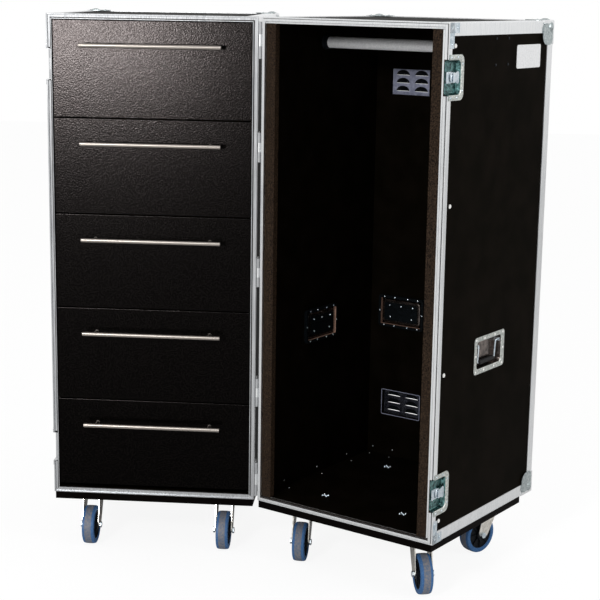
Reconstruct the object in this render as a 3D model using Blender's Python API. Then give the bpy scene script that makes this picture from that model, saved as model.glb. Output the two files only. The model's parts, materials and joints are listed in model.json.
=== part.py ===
"""Two-half wardrobe flight case on casters, modelled in metres with +Z up.

The drawer half stands square to the axes, and the wardrobe half hangs on its hinge line.
Every size below is in millimetres, and mm() turns it into metres.
"""
import math

import bmesh
import bpy
from mathutils import Matrix, Vector

# Driving sizes of one half, outside over its edge profiles
CASE_WIDTH = 520.0
CASE_DEPTH = 510.0
CASE_HEIGHT = 1220.0
CASE_LIFT = 155.0            # floor to the underside of the case
HINGE_OFFSET = 5.0           # side face to the hinge axis
OPEN_ANGLE = 149.0           # between the two fronts, 0 when shut
HINGE_AXIS = (-91.5, -122.4)  # centres the bounding box on the origin

# Construction
FIT_GAP = 0.3                # between pieces that touch
PLY = 11.5                   # wall panels
SKIN = 2.0                   # edge profile wall
EDGE_FLANGE = 30.0           # edge profile leg
GROOVE_FACE = 13.0           # width of the drawer half's rim seen from the front
TONGUE_END = 10.9            # inner side of the wardrobe half's tongue
LEDGE_END = 15.0             # inner edge of the ledge beside the tongue
LEDGE_DEPTH = 5.0            # that ledge behind the mating plane
RIM_FLANGE = 13.0            # depth of the rim's outer leg
RIM_WEB = 8.0                # back of the rim behind the mating plane
FRONT_SET = 3.0              # fronts and stiles behind the mating plane
STILE_START = 11.6           # outer edge of both stiles from the side face
HINGE_STILE_END = 39.0
LATCH_STILE_END = 45.0
STILE_DEPTH = 16.0

# Drawers
DRAWER_COUNT = 5
DRAWER_SIDE_GAP = 2.0
DRAWER_PITCH = 238.6
DRAWER_SEAM = 2.6
DRAWER_TOE = 9.0             # open strip under the lowest drawer
FRONT_THICK = 12.0
BOX_WALL = 9.0
BOX_FLOOR = 5.0
BOX_DEPTH = 440.0
BOX_HEIGHT = 185.0
BOX_BASE = 22.0              # box underside above the front's lower edge
RUNNER_THICK = 6.4
RUNNER_TALL = 36.0
SLIDE_TALL = 20.0
PULL_LENGTH = 348.0
PULL_POSTS = 288.0
PULL_RADIUS = 5.5
PULL_REACH = 32.0
PULL_DROP = 60.0             # bar centre below the front's upper edge

# Hinges on the meeting side walls
HINGE_CENTRES = (56.0, 285.5, 594.0, 905.5, 1164.0)
HINGE_LENGTHS = (88.0, 72.0, 72.0, 72.0, 88.0)
KNUCKLE_RADIUS = 4.3
PIN_RADIUS = 1.8
LEAF_THICK = 1.8
LEAF_DEPTH = 34.0

# Latches on the free side walls
LATCH_CENTRES = (122.0, 1098.0)
LATCH_TALL = 102.0
LATCH_DEPTH = 66.0
LATCH_WELL_TALL = 78.0
LATCH_WELL_DEPTH = 55.0
LATCH_FLOOR = 10.0           # floor of the well below the case's outer face
LATCH_METAL = 1.2
ROTOR_SET = 28.0             # rotor axis behind the mating plane
HOOK_TRAVEL = 12.0

# Recessed lifting handles
HANDLE_HEIGHT = 426.0
DISH_WIDTH = 150.0
DISH_TALL = 92.0
WELL_WIDTH = 122.0
WELL_TALL = 68.0
WELL_DEPTH = 17.0
DISH_METAL = 1.2
BAIL_PIVOT = (-6.0, 22.0)    # outward, up, from the dish centre on the panel's face
BAIL_GRIP = (-9.0, -19.0)
BAIL_SPAN = 96.0
BAIL_ROD = 2.5
GRIP_RADIUS = 6.5
GRIP_LENGTH = 80.0
BACK_HANDLE_X = 119.0        # from the hinge axis along the back
SIDE_HANDLE_Y = 247.0

# Louvred vents in the back wall
VENT_X = 122.0
VENT_HEIGHTS = (166.0, 1049.0)
VENT_PLATE = (164.0, 114.0)
VENT_HOLE = (120.0, 68.0)
LOUVRE_PITCH = (57.0, 21.0)
LOUVRE_SIZE = (22.0, 15.0, 6.0)  # half width, height and projection of a hood

# Bare name plate on the wardrobe half's latch side
PLATE_Y = 385.0
PLATE_Z = 1136.0
PLATE_DEEP = 122.0
PLATE_TALL = 56.0

# Garment rail
RAIL_Y = 251.0
RAIL_Z = 1156.0
RAIL_RADIUS = 14.5
SOCKET_RADIUS = 19.0
SOCKET_LENGTH = 14.0

# Caster boards and casters
BOARD_THICK = 18.0
BOARD_INSET = 3.0
BOARD_CORNER = 56.0          # cut off each rear corner, clear of the ball corners
SWIVEL_SIDE = 84.0           # swivel axis to the nearer side face
SWIVEL_FRONT = 88.0          # front swivel axes behind the mating plane
SWIVEL_REAR = 84.0           # rear swivel axes to the rear face
PLATE_SIZE = (104.0, 86.0, 3.0)
RACE_RADIUS = 27.0
RACE_TALL = 7.0
CROWN_TALL = 5.5
TRAIL = 35.0
WHEEL_RADIUS = 50.0
TYRE_HALF = 16.0
HUB_HALF = 18.6
FORK_INNER = 19.4
FORK_METAL = 3.2
AXLE_RADIUS = 5.0
BOLT_RADIUS = 8.5
BORE_GAP = 0.4
WHEEL_STEPS = 18
DRAWER_SWIVELS = (("front_left", 0.0), ("front_right", 0.0), ("rear_left", -14.0), ("rear_right", 22.0))
WARDROBE_SWIVELS = (("front_left", 26.0), ("front_right", 45.0), ("rear_left", 12.0), ("rear_right", -15.0))

# Ball corners at the rear
CAP_LEG = 58.0
CAP_SLICE = 0.345            # where the slanting plane cuts the cap, as a share of the leg
CAP_METAL = 1.6
BALL_RADIUS = 22.0
BALL_PROUD = 5.6

COLOURS = {
    "phenolic_ply": ((0.028, 0.020, 0.016), 0.55, 0.0),
    "aluminium": ((0.78, 0.78, 0.78), 0.32, 1.0),
    "zinc": ((0.60, 0.64, 0.66), 0.30, 1.0),
    "brushed_steel": ((0.62, 0.61, 0.59), 0.28, 1.0),
    "drawer_black": ((0.012, 0.012, 0.013), 0.60, 0.0),
    "stile_brown": ((0.050, 0.036, 0.030), 0.70, 0.0),
    "rubber": ((0.010, 0.010, 0.010), 0.75, 0.0),
    "blue_tyre": ((0.050, 0.130, 0.320), 0.60, 0.0),
    "white_rail": ((0.82, 0.82, 0.80), 0.35, 0.0),
    "board_black": ((0.014, 0.011, 0.010), 0.60, 0.0),
}


def mm(*values):
    scaled = [value * 0.001 for value in values]
    return scaled[0] if len(scaled) == 1 else Vector(scaled)


def clear_scene():
    for item in list(bpy.data.objects):
        bpy.data.objects.remove(item, do_unlink=True)


def new_collection(name):
    collection = bpy.data.collections.new(name)
    bpy.context.scene.collection.children.link(collection)
    return collection


def make_materials():
    materials = {}
    for name, (colour, roughness, metallic) in COLOURS.items():
        material = bpy.data.materials.new(name)
        material.use_nodes = True
        shader = material.node_tree.nodes["Principled BSDF"]
        shader.inputs["Base Color"].default_value = (*colour, 1.0)
        shader.inputs["Roughness"].default_value = roughness
        shader.inputs["Metallic"].default_value = metallic
        material.diffuse_color = (*colour, 1.0)
        materials[name] = material
    return materials


clear_scene()
PARTS = new_collection("wardrobe_flight_case")
MATERIALS = make_materials()


# Basic solids, each a loose object in the parts collection until it is named or joined

def solid(bm, name="solid"):
    bmesh.ops.recalc_face_normals(bm, faces=bm.faces[:])
    mesh = bpy.data.meshes.new(name)
    bm.to_mesh(mesh)
    bm.free()
    item = bpy.data.objects.new(name, mesh)
    PARTS.objects.link(item)
    return item


def box(low, high, bevel=0.0, segments=1):
    bm = bmesh.new()
    bmesh.ops.create_cube(bm, size=1.0)
    size = mm(*[b - a for a, b in zip(low, high)])
    centre = mm(*[(a + b) / 2 for a, b in zip(low, high)])
    bmesh.ops.scale(bm, vec=size, verts=bm.verts[:])
    if bevel:
        bmesh.ops.bevel(bm, geom=bm.edges[:], offset=mm(bevel), segments=segments,
                        affect="EDGES", profile=0.5)
    bmesh.ops.translate(bm, vec=centre, verts=bm.verts[:])
    return solid(bm)


def tapered_box(low, high, draft, open_front=False):
    """A box whose inward face, at low x, is drawn in by draft on the sides that have a wall."""
    bm = bmesh.new()
    bmesh.ops.create_cube(bm, size=1.0)
    bmesh.ops.scale(bm, vec=mm(*[b - a for a, b in zip(low, high)]), verts=bm.verts[:])
    bmesh.ops.translate(bm, vec=mm(*[(a + b) / 2 for a, b in zip(low, high)]), verts=bm.verts[:])
    middle = mm(*[(a + b) / 2 for a, b in zip(low, high)])
    for vert in bm.verts:
        if vert.co.x > middle.x:
            continue
        vert.co.z += mm(draft) if vert.co.z < middle.z else -mm(draft)
        if vert.co.y > middle.y:
            vert.co.y -= mm(draft)
        elif not open_front:
            vert.co.y += mm(draft)
    return solid(bm)


def rod(start, end, radius, sides=12, end_radius=None):
    start, end = mm(*start), mm(*end)
    along = end - start
    bm = bmesh.new()
    bmesh.ops.create_cone(bm, cap_ends=True, segments=sides, radius1=mm(radius),
                          radius2=mm(radius if end_radius is None else end_radius), depth=along.length)
    turn = Vector((0, 0, 1)).rotation_difference(along).to_matrix()
    bmesh.ops.rotate(bm, matrix=turn, verts=bm.verts[:])
    bmesh.ops.translate(bm, vec=(start + end) / 2, verts=bm.verts[:])
    return solid(bm)


def ball(centre, radius, scale=(1, 1, 1), segments=12, rings=8):
    bm = bmesh.new()
    bmesh.ops.create_uvsphere(bm, u_segments=segments, v_segments=rings, radius=mm(radius))
    bmesh.ops.scale(bm, vec=Vector(scale), verts=bm.verts[:])
    bmesh.ops.translate(bm, vec=mm(*centre), verts=bm.verts[:])
    return solid(bm)


def plate(outline, low, high, plane="yz"):
    """An outline in the named plane, extruded along the third axis from low to high."""
    lift = {"yz": lambda a, b: (low, a, b), "xz": lambda a, b: (a, low, b), "xy": lambda a, b: (a, b, low)}
    step = {"yz": (high - low, 0, 0), "xz": (0, high - low, 0), "xy": (0, 0, high - low)}
    bm = bmesh.new()
    face = bm.faces.new([bm.verts.new(mm(*lift[plane](a, b))) for a, b in outline])
    grown = bmesh.ops.extrude_face_region(bm, geom=[face])
    moved = [item for item in grown["geom"] if isinstance(item, bmesh.types.BMVert)]
    bmesh.ops.translate(bm, vec=mm(*step[plane]), verts=moved)
    return solid(bm)


def arc(centre, radius, start, end, steps):
    points = []
    for i in range(steps + 1):
        angle = math.radians(start + (end - start) * i / steps)
        points.append((centre[0] + radius * math.cos(angle), centre[1] + radius * math.sin(angle)))
    return points


def rounded(low, high, radii, steps=3):
    """A rectangle whose corners, from the low corner on and anticlockwise, have their own radii."""
    corners = ((low[0], low[1], 1, 1, 180), (high[0], low[1], -1, 1, 270),
               (high[0], high[1], -1, -1, 0), (low[0], high[1], 1, -1, 90))
    points = []
    for (a, b, sign_a, sign_b, start), radius in zip(corners, radii):
        if radius:
            points += arc((a + sign_a * radius, b + sign_b * radius), radius, start, start + 90, steps)
        else:
            points.append((a, b))
    return points


def join(target, tool, operation="UNION"):
    """Boolean of two solids into the first; the second is used up."""
    modifier = target.modifiers.new("join", "BOOLEAN")
    modifier.object = tool
    modifier.operation = operation
    modifier.solver = "EXACT"
    bpy.context.view_layer.update()
    evaluated = target.evaluated_get(bpy.context.evaluated_depsgraph_get())
    mesh = bpy.data.meshes.new_from_object(evaluated)
    old = target.data
    target.modifiers.clear()
    target.data = mesh
    bpy.data.meshes.remove(old)
    spent = tool.data
    bpy.data.objects.remove(tool, do_unlink=True)
    if not spent.users:
        bpy.data.meshes.remove(spent)
    return target


def union(first, *rest):
    for item in rest:
        join(first, item)
    return first


def cut(first, *rest):
    for item in rest:
        join(first, item, "DIFFERENCE")
    return first


def mirror_x(item):
    item.data.transform(Matrix.Scale(-1, 4, Vector((1, 0, 0))))
    item.data.flip_normals()
    return item


def finish(item, name, material, parent, place=(0, 0, 0), turn=0.0):
    """Names a solid, gives it its finish and hangs it on the half or piece that carries it."""
    item.name = name
    item.data.name = name
    item.data.materials.clear()
    item.data.materials.append(MATERIALS[material])
    item.data.shade_smooth()
    item.data.set_sharp_from_angle(angle=math.radians(35))
    item.parent = parent
    item.location = mm(*place)
    item.rotation_euler = (0, 0, math.radians(turn))
    return item


def copy_of(item, name, parent, place=(0, 0, 0), turn=0.0):
    twin = bpy.data.objects.new(name, item.data)
    PARTS.objects.link(twin)
    twin.parent = parent
    twin.location = mm(*place)
    twin.rotation_euler = (0, 0, math.radians(turn))
    return twin


def empty(name, place, turn=0.0, parent=None):
    item = bpy.data.objects.new(name, None)
    PARTS.objects.link(item)
    item.parent = parent
    item.location = mm(*place)
    item.rotation_euler = (0, 0, math.radians(turn))
    return item


# One half of the case. Along the front, side is +1 for the wardrobe half and -1 for the drawer half.

NEAR = HINGE_OFFSET
FAR = HINGE_OFFSET + CASE_WIDTH


def span(side, near, far):
    """Two distances from the hinge side face as an ordered pair of x values."""
    values = (side * (NEAR + near), side * (NEAR + far))
    return min(values), max(values)


def block(side, across, along, up, **options):
    x = span(side, *across)
    return box((x[0], along[0], up[0]), (x[1], along[1], up[1]), **options)


def mitred_rim(side, profile):
    """A closed profile of (inset, depth) points carried round the front with mitred corners."""
    half_width, half_height = CASE_WIDTH / 2, CASE_HEIGHT / 2
    bm = bmesh.new()
    verts = [bm.verts.new(mm(half_height - inset, depth, half_height - inset)) for inset, depth in profile]
    edges = [bm.edges.new((verts[i - 1], verts[i])) for i in range(len(verts))]
    bmesh.ops.spin(bm, geom=verts + edges, cent=(0, 0, 0), axis=(0, 1, 0), angle=math.tau,
                   steps=4, use_merge=True, use_duplicate=False)
    centre = side * (NEAR + half_width)
    for vert in bm.verts:
        narrower = half_width - half_height
        vert.co.x += mm(narrower if vert.co.x > 0 else -narrower) + mm(centre)
        vert.co.z += mm(half_height)
    return solid(bm)


TONGUE = ((0, RIM_FLANGE), (0, 1.0), (0.7, 0.3), (4.2, 0.3), (4.5, -2.9), (5.2, -3.6), (9.9, -3.6),
          (10.6, -2.9), (TONGUE_END, LEDGE_DEPTH), (LEDGE_END, LEDGE_DEPTH), (LEDGE_END, RIM_WEB),
          (SKIN, RIM_WEB), (SKIN, RIM_FLANGE))
GROOVE = ((0, RIM_FLANGE), (0, 1.0), (0.7, 0.3), (2.9, 0.3), (3.2, 4.8), (11.3, 4.8), (11.5, 0.3),
          (GROOVE_FACE, 0.3), (GROOVE_FACE, RIM_WEB), (SKIN, RIM_WEB), (SKIN, RIM_FLANGE))


def hinge_leaf(side, centre, length):
    """A leaf on the side face with its knuckles on the hinge axis, the drawer side holding the pin."""
    low, high = centre - length / 2, centre + length / 2
    third = length / 3
    outer = rod((0, 0, low), (0, 0, high), KNUCKLE_RADIUS, 10)
    arm = block(side, (-NEAR, -FIT_GAP - 0.2), (-1.0, 1.4), (low, high))
    foot = block(side, (-FIT_GAP - 0.2, 0.6), (1.2, RIM_FLANGE - 1), (low + 0.4, high - 0.4))
    leaf = block(side, (-FIT_GAP - LEAF_THICK, -FIT_GAP), (0.4, LEAF_DEPTH), (low, high))
    union(leaf, foot, arm, outer)
    around = KNUCKLE_RADIUS + 1.2
    if side > 0:
        cut(leaf, rod((0, 0, low - 1), (0, 0, low + third + FIT_GAP), around, 12),
            rod((0, 0, high - third - FIT_GAP), (0, 0, high + 1), around, 12),
            rod((0, 0, low - 1), (0, 0, high + 1), PIN_RADIUS + BORE_GAP, 12))
    else:
        cut(leaf, rod((0, 0, low + third), (0, 0, high - third), around, 12))
        union(leaf, rod((0, 0, low + 1), (0, 0, high - 1), PIN_RADIUS, 12))
    return leaf


def latch_notch(side, centre, slack=0.0):
    reach = LATCH_WELL_TALL / 2 + LATCH_METAL + FIT_GAP + slack
    return block(side, (CASE_WIDTH - LATCH_FLOOR - LATCH_METAL - 0.4, CASE_WIDTH + 4),
                 (-8, LATCH_WELL_DEPTH + LATCH_METAL + 0.6), (centre - reach, centre + reach))


def front_rim(side, profile):
    rim = mitred_rim(side, profile)
    cut(rim, *[latch_notch(side, centre) for centre in LATCH_CENTRES])
    for centre, length in zip(HINGE_CENTRES, HINGE_LENGTHS):
        union(rim, hinge_leaf(side, centre, length))
    return rim


def ball_corner(side, across, up):
    """A corner cap of three legs with a ball over the vertex; across and up are 0 or 1."""
    corner = Vector((side * (NEAR + across * CASE_WIDTH), CASE_DEPTH, up * CASE_HEIGHT))
    outward = Vector((side * (1 if across else -1), 1, 1 if up else -1))
    low = corner - outward * CAP_LEG
    high = corner + outward * CAP_METAL
    cap = box([min(a, b) for a, b in zip(low, high)], [max(a, b) for a, b in zip(low, high)], bevel=2.5)
    bm = bmesh.new()
    bm.from_mesh(cap.data)
    normal = outward.normalized()
    keep = mm(*(corner - outward * (CAP_LEG * CAP_SLICE)))
    sliced = bmesh.ops.bisect_plane(bm, geom=bm.verts[:] + bm.edges[:] + bm.faces[:], plane_co=keep,
                                    plane_no=normal, clear_inner=True)
    rim_edges = [item for item in sliced["geom_cut"] if isinstance(item, bmesh.types.BMEdge)]
    bmesh.ops.contextual_create(bm, geom=rim_edges)
    bm.to_mesh(cap.data)
    bm.free()
    centre = corner - outward * (BALL_RADIUS - BALL_PROUD)
    return union(cap, ball(centre, BALL_RADIUS))


def edge_frame(side):
    """Angle profiles on the eight edges behind the rim, with ball corners at the rear."""
    front = RIM_FLANGE + FIT_GAP
    frame = block(side, (0, CASE_WIDTH), (front - 10, CASE_DEPTH), (0, CASE_HEIGHT), bevel=3.0, segments=2)
    between = (EDGE_FLANGE, CASE_WIDTH - EDGE_FLANGE)
    rise = (EDGE_FLANGE, CASE_HEIGHT - EDGE_FLANGE)
    rear = CASE_DEPTH - EDGE_FLANGE
    cut(frame, block(side, (-9, CASE_WIDTH + 9), (front - 20, rear), rise),
        block(side, between, (front - 21, rear), (-9, CASE_HEIGHT + 9)),
        block(side, between, (front - 22, CASE_DEPTH + 9), rise))
    for across in (0, 1):
        for up in (0, 1):
            union(frame, ball_corner(side, across, up))
    cut(frame, block(side, (SKIN, CASE_WIDTH - SKIN), (-20, CASE_DEPTH - SKIN), (SKIN, CASE_HEIGHT - SKIN)),
        block(side, (-30, CASE_WIDTH + 30), (-30, front), (-30, CASE_HEIGHT + 30)))
    return frame


def well_hole(centre, normal, depth=40.0):
    """A cutter for a handle dish: centre is on the panel's outer face."""
    half_wide = WELL_WIDTH / 2 + DISH_METAL + 1.0
    half_tall = WELL_TALL / 2 + DISH_METAL + 1.0
    x, y, z = centre
    if normal == "x":
        return box((x - depth, y - half_wide, z - half_tall), (x + depth, y + half_wide, z + half_tall))
    return box((x - half_wide, y - depth, z - half_tall), (x + half_wide, y + depth, z + half_tall))


FACE = SKIN + FIT_GAP                      # panel's outer face below the case's outer face
WALL = FACE + PLY                          # panel's inner face below the case's outer face
PANEL_FRONT = RIM_WEB + FIT_GAP
PANEL_BACK = CASE_DEPTH - FACE


def wardrobe_panels(half):
    """Five plywood panels: the side, top and floor panels run between the rim and the back."""
    back_face = CASE_DEPTH - WALL - FIT_GAP
    low, high = WALL + FIT_GAP, CASE_HEIGHT - WALL - FIT_GAP
    along = (PANEL_FRONT, back_face)
    hinge_side = block(1, (FACE, WALL), along, (low, high))
    cut(hinge_side, well_hole((NEAR + FACE, SIDE_HANDLE_Y, HANDLE_HEIGHT), "x"))
    finish(hinge_side, "wardrobe_hinge_side_panel", "phenolic_ply", half)
    latch_side = block(1, (CASE_WIDTH - WALL, CASE_WIDTH - FACE), along, (low, high))
    cut(latch_side, well_hole((FAR - FACE, SIDE_HANDLE_Y, HANDLE_HEIGHT), "x"),
        *[latch_notch(1, centre, 0.4) for centre in LATCH_CENTRES])
    finish(latch_side, "wardrobe_latch_side_panel", "phenolic_ply", half)
    for name, up in (("floor", (FACE, WALL)), ("top", (CASE_HEIGHT - WALL, CASE_HEIGHT - FACE))):
        panel = block(1, (FACE, CASE_WIDTH - FACE), along, up)
        finish(panel, "wardrobe_%s_panel" % name, "phenolic_ply", half)
    back = block(1, (FACE, CASE_WIDTH - FACE), (CASE_DEPTH - WALL, PANEL_BACK), (FACE, CASE_HEIGHT - FACE))
    cut(back, well_hole((BACK_HANDLE_X, PANEL_BACK, HANDLE_HEIGHT), "y"))
    for height in VENT_HEIGHTS:
        cut(back, box((VENT_X - VENT_HOLE[0] / 2, 480, height - VENT_HOLE[1] / 2),
                      (VENT_X + VENT_HOLE[0] / 2, 530, height + VENT_HOLE[1] / 2)))
    finish(back, "wardrobe_back_panel", "phenolic_ply", half)


DRAWER_INSET = GROOVE_FACE + DRAWER_SIDE_GAP


def drawer_z(index):
    """Lower edge and height of a drawer front, counted from the bottom; the lowest one is shorter."""
    top = CASE_HEIGHT - DRAWER_INSET - (DRAWER_COUNT - 1 - index) * DRAWER_PITCH
    low = max(top - DRAWER_PITCH + DRAWER_SEAM, DRAWER_INSET + DRAWER_TOE)
    return low, top - low


def runner_z(index):
    return drawer_z(index)[0] + BOX_BASE + 60


def drawer_shell(half):
    """The drawer half's glued carcass with a fixed runner on each side wall for each drawer."""
    shell = block(-1, (FACE, CASE_WIDTH - FACE), (PANEL_FRONT, PANEL_BACK), (FACE, CASE_HEIGHT - FACE))
    cut(shell, block(-1, (WALL, CASE_WIDTH - WALL), (-20, CASE_DEPTH - WALL), (WALL, CASE_HEIGHT - WALL)))
    for index in range(DRAWER_COUNT):
        middle = runner_z(index)
        up = (middle - RUNNER_TALL / 2, middle + RUNNER_TALL / 2)
        union(shell, block(-1, (WALL - 1, WALL + RUNNER_THICK), (30, 30 + BOX_DEPTH), up),
              block(-1, (CASE_WIDTH - WALL - RUNNER_THICK, CASE_WIDTH - WALL + 1), (30, 30 + BOX_DEPTH), up))
    cut(shell, well_hole((-(FAR - FACE), SIDE_HANDLE_Y, HANDLE_HEIGHT), "x"),
        *[latch_notch(-1, centre, 0.4) for centre in LATCH_CENTRES])
    return finish(shell, "drawer_case_shell", "phenolic_ply", half)


def drawer(half, index):
    """Front, open box and the moving slide members of one drawer."""
    low, tall = drawer_z(index)
    front = block(-1, (DRAWER_INSET, CASE_WIDTH - DRAWER_INSET), (FRONT_SET, FRONT_SET + FRONT_THICK),
                  (low, low + tall), bevel=1.0)
    side = WALL + 2 * RUNNER_THICK + 1.2
    base = low + BOX_BASE
    start = FRONT_SET + FRONT_THICK - 1
    tray = block(-1, (side, CASE_WIDTH - side), (start, start + BOX_DEPTH), (base, base + BOX_HEIGHT))
    cut(tray, block(-1, (side + BOX_WALL, CASE_WIDTH - side - BOX_WALL),
                    (start + BOX_WALL, start + BOX_DEPTH - BOX_WALL),
                    (base + BOX_FLOOR, base + BOX_HEIGHT + 9)))
    middle = runner_z(index)
    inner = WALL + RUNNER_THICK + 0.6
    for near, far in ((inner, side + 1), (CASE_WIDTH - side - 1, CASE_WIDTH - inner)):
        union(tray, block(-1, (near, far), (start + 14, start + BOX_DEPTH - 6),
                          (middle - SLIDE_TALL / 2, middle + SLIDE_TALL / 2)))
    return finish(union(front, tray), "drawer_%d" % (DRAWER_COUNT - index), "drawer_black", half)


def drawer_pull():
    """A round bar on two posts, its origin on the drawer front's face at the bar's middle."""
    half = PULL_LENGTH / 2
    bar = rod((-half, -PULL_REACH, 0), (half, -PULL_REACH, 0), PULL_RADIUS, 12)
    for x in (-PULL_POSTS / 2, PULL_POSTS / 2):
        union(bar, rod((x, -PULL_REACH, 0), (x, -FIT_GAP, 0), PULL_RADIUS * 0.75, 10))
    return bar


def latch_well(extra=0.0, depth=LATCH_WELL_DEPTH):
    """The hollow of a latch, or with extra its outer skin, seen with x outward from the case's face."""
    half = LATCH_WELL_TALL / 2 + extra
    front = -9.0 if not extra else 0.5
    top = 9.0 if not extra else FIT_GAP + 0.6
    return tapered_box((-LATCH_FLOOR - extra, front, -half), (top, depth + extra, half), 4.0, open_front=True)


def latch_dish():
    """Pressed half dish, open to the mating plane, with a flange over the side wall."""
    half = LATCH_TALL / 2
    flange = plate(rounded((0.5, -half), (LATCH_DEPTH, half), (4, 15, 15, 4)), FIT_GAP, FIT_GAP + LATCH_METAL)
    dish = union(flange, latch_well(LATCH_METAL))
    return cut(dish, latch_well())


def latch_hook():
    """Sliding hook plate on the floor of the well, slotted round the rotor's pin."""
    floor = -LATCH_FLOOR + FIT_GAP
    outline = [(4.0, -13), (ROTOR_SET - 12, -13)] + arc((ROTOR_SET - 6, 0), 14, -68, 68, 6) + [
        (ROTOR_SET - 12, 13), (4.0, 13)]
    hook = plate(outline, floor, floor + 2.6)
    union(hook, box((floor + 1, 3.0, -13), (floor + 5.4, 6.0, 13)))
    slot = rounded((ROTOR_SET - 4.2, -4.2), (ROTOR_SET + 4.2 + HOOK_TRAVEL, 4.2), (4.1, 4.1, 4.1, 4.1))
    return cut(hook, plate(slot, floor - 2, floor + 6))


def latch_rotor():
    """Turning disc with two ears that hold the wing's pin, its origin on the turning axis."""
    base = -LATCH_FLOOR + FIT_GAP
    disc = rod((base + 2.9, 0, 0), (base + 5.1, 0, 0), 12, 20)
    rotor = union(rod((base, 0, 0), (base + 4, 0, 0), 3.4, 12), disc)
    for low, high in ((-11.2, -8.6), (8.6, 11.2)):
        union(rotor, box((base + 4, -2.6, low), (base + 9.2, 2.6, high)))
    return rotor


WING_AXIS = -LATCH_FLOOR + FIT_GAP + 7.0


def latch_wing():
    """Flared wing that lies flat beside its pin, its origin on the pin's axis."""
    outline = [(-1.2, -8.0), (6, -8.2), (15.5, -16.5)] + arc((7.5, 0), 15.0, -50, 50, 5) + [
        (15.5, 16.5), (6, 8.2), (-1.2, 8.0)]
    wing = plate(outline, -1.1, 1.1)
    return union(wing, rod((0, 0, -8.2), (0, 0, 8.2), 1.8, 10))


def latch_keeper(centre):
    """The drawer side's half dish with the catch that the hook pulls on."""
    half = LATCH_TALL / 2
    flange = plate(rounded((0.5, -half), (40, half), (4, 12, 12, 4)), -0.4, LATCH_METAL)
    dish = union(flange, latch_well(LATCH_METAL, 30.0))
    cut(dish, latch_well(0.0, 30.0))
    union(dish, box((-LATCH_FLOOR - 0.6, 9.6, -14), (-LATCH_FLOOR + 5.0, 12.0, 14)))
    dish.data.transform(Matrix.Translation(mm(FAR, 0, centre)))
    return mirror_x(dish)


def handle_dish():
    """Pressed handle dish with two lugs for the bail, its origin on the panel's outer face."""
    half_w, half_t = DISH_WIDTH / 2, DISH_TALL / 2
    flange = plate(rounded((-half_w, -half_t), (half_w, half_t), (8, 8, 8, 8)), FIT_GAP, FIT_GAP + DISH_METAL)
    w, t = WELL_WIDTH / 2, WELL_TALL / 2
    skin = DISH_METAL
    dish = union(flange, tapered_box((-WELL_DEPTH - skin, -w - skin, -t - skin),
                                     (FIT_GAP + 0.6, w + skin, t + skin), 3.0))
    cut(dish, tapered_box((-WELL_DEPTH, -w, -t), (9, w, t), 3.0))
    reach, rise = BAIL_PIVOT
    for side in (-1, 1):
        low, high = sorted((side * (BAIL_SPAN / 2 + 4.0), side * (BAIL_SPAN / 2 + 7.0)))
        union(dish, box((-WELL_DEPTH - 0.6, low, rise - 5), (reach + 5, high, rise + 5)))
        cut(dish, rod((reach, low - 1, rise), (reach, high + 1, rise), BAIL_ROD + BORE_GAP, 10))
    return dish


def tube(points, radius):
    """A bent rod as a bevelled curve, made a mesh with its caps welded."""
    curve = bpy.data.curves.new("tube", "CURVE")
    curve.dimensions = "3D"
    curve.bevel_depth = mm(radius)
    curve.bevel_resolution = 2
    curve.use_fill_caps = True
    spline = curve.splines.new("POLY")
    spline.points.add(len(points) - 1)
    for point, place in zip(spline.points, points):
        point.co = (*mm(*place), 1.0)
    guide = bpy.data.objects.new("tube", curve)
    PARTS.objects.link(guide)
    bpy.context.view_layer.update()
    mesh = bpy.data.meshes.new_from_object(guide.evaluated_get(bpy.context.evaluated_depsgraph_get()))
    bpy.data.objects.remove(guide, do_unlink=True)
    bpy.data.curves.remove(curve)
    bm = bmesh.new()
    bm.from_mesh(mesh)
    bmesh.ops.remove_doubles(bm, verts=bm.verts[:], dist=0.00001)
    bpy.data.meshes.remove(mesh)
    return solid(bm)


def handle_bail():
    """Bent rod with a grip, its origin on the pivot's axis and its rest place in the dish."""
    half = BAIL_SPAN / 2
    drop = (BAIL_GRIP[0] - BAIL_PIVOT[0], BAIL_GRIP[1] - BAIL_PIVOT[1])
    stub = half + 6.0
    path = [(0, -stub, 0), (0, -half, 0), (drop[0], -half, drop[1]), (drop[0], half, drop[1]),
            (0, half, 0), (0, stub, 0)]
    grip = rod((drop[0], -GRIP_LENGTH / 2, drop[1]), (drop[0], GRIP_LENGTH / 2, drop[1]), GRIP_RADIUS, 14)
    return union(tube(path, BAIL_ROD), grip)


def vent():
    """Pressed louvre plate seen with y outward: hoods open downward over their slots."""
    half_w, half_t = VENT_PLATE[0] / 2, VENT_PLATE[1] / 2
    sheet = plate(rounded((-half_w, -half_t), (half_w, half_t), (5, 5, 5, 5), 2), FIT_GAP, 1.7, "xz")
    wide, tall, proud = LOUVRE_SIZE
    for column in (-0.5, 0.5):
        for row in (-1, 0, 1):
            x, z = column * LOUVRE_PITCH[0], row * LOUVRE_PITCH[1] - 3.0
            hood = ball((x, 1.0, z), 1.0, (wide, proud, tall), 10, 6)
            hollow = ball((x, 1.0, z), 1.0, (wide - 1.5, proud - 1.5, tall - 1.5), 10, 6)
            below = box((x - 40, -20, z - 30), (x + 40, 20, z))
            union(sheet, cut(hood, below, box((x - 40, -20, z - 30), (x + 40, 0.6, z + 30))))
            cut(sheet, cut(hollow, box((x - 40, -20, z - 30), (x + 40, 20, z - 1.5))))
    return sheet


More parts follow.
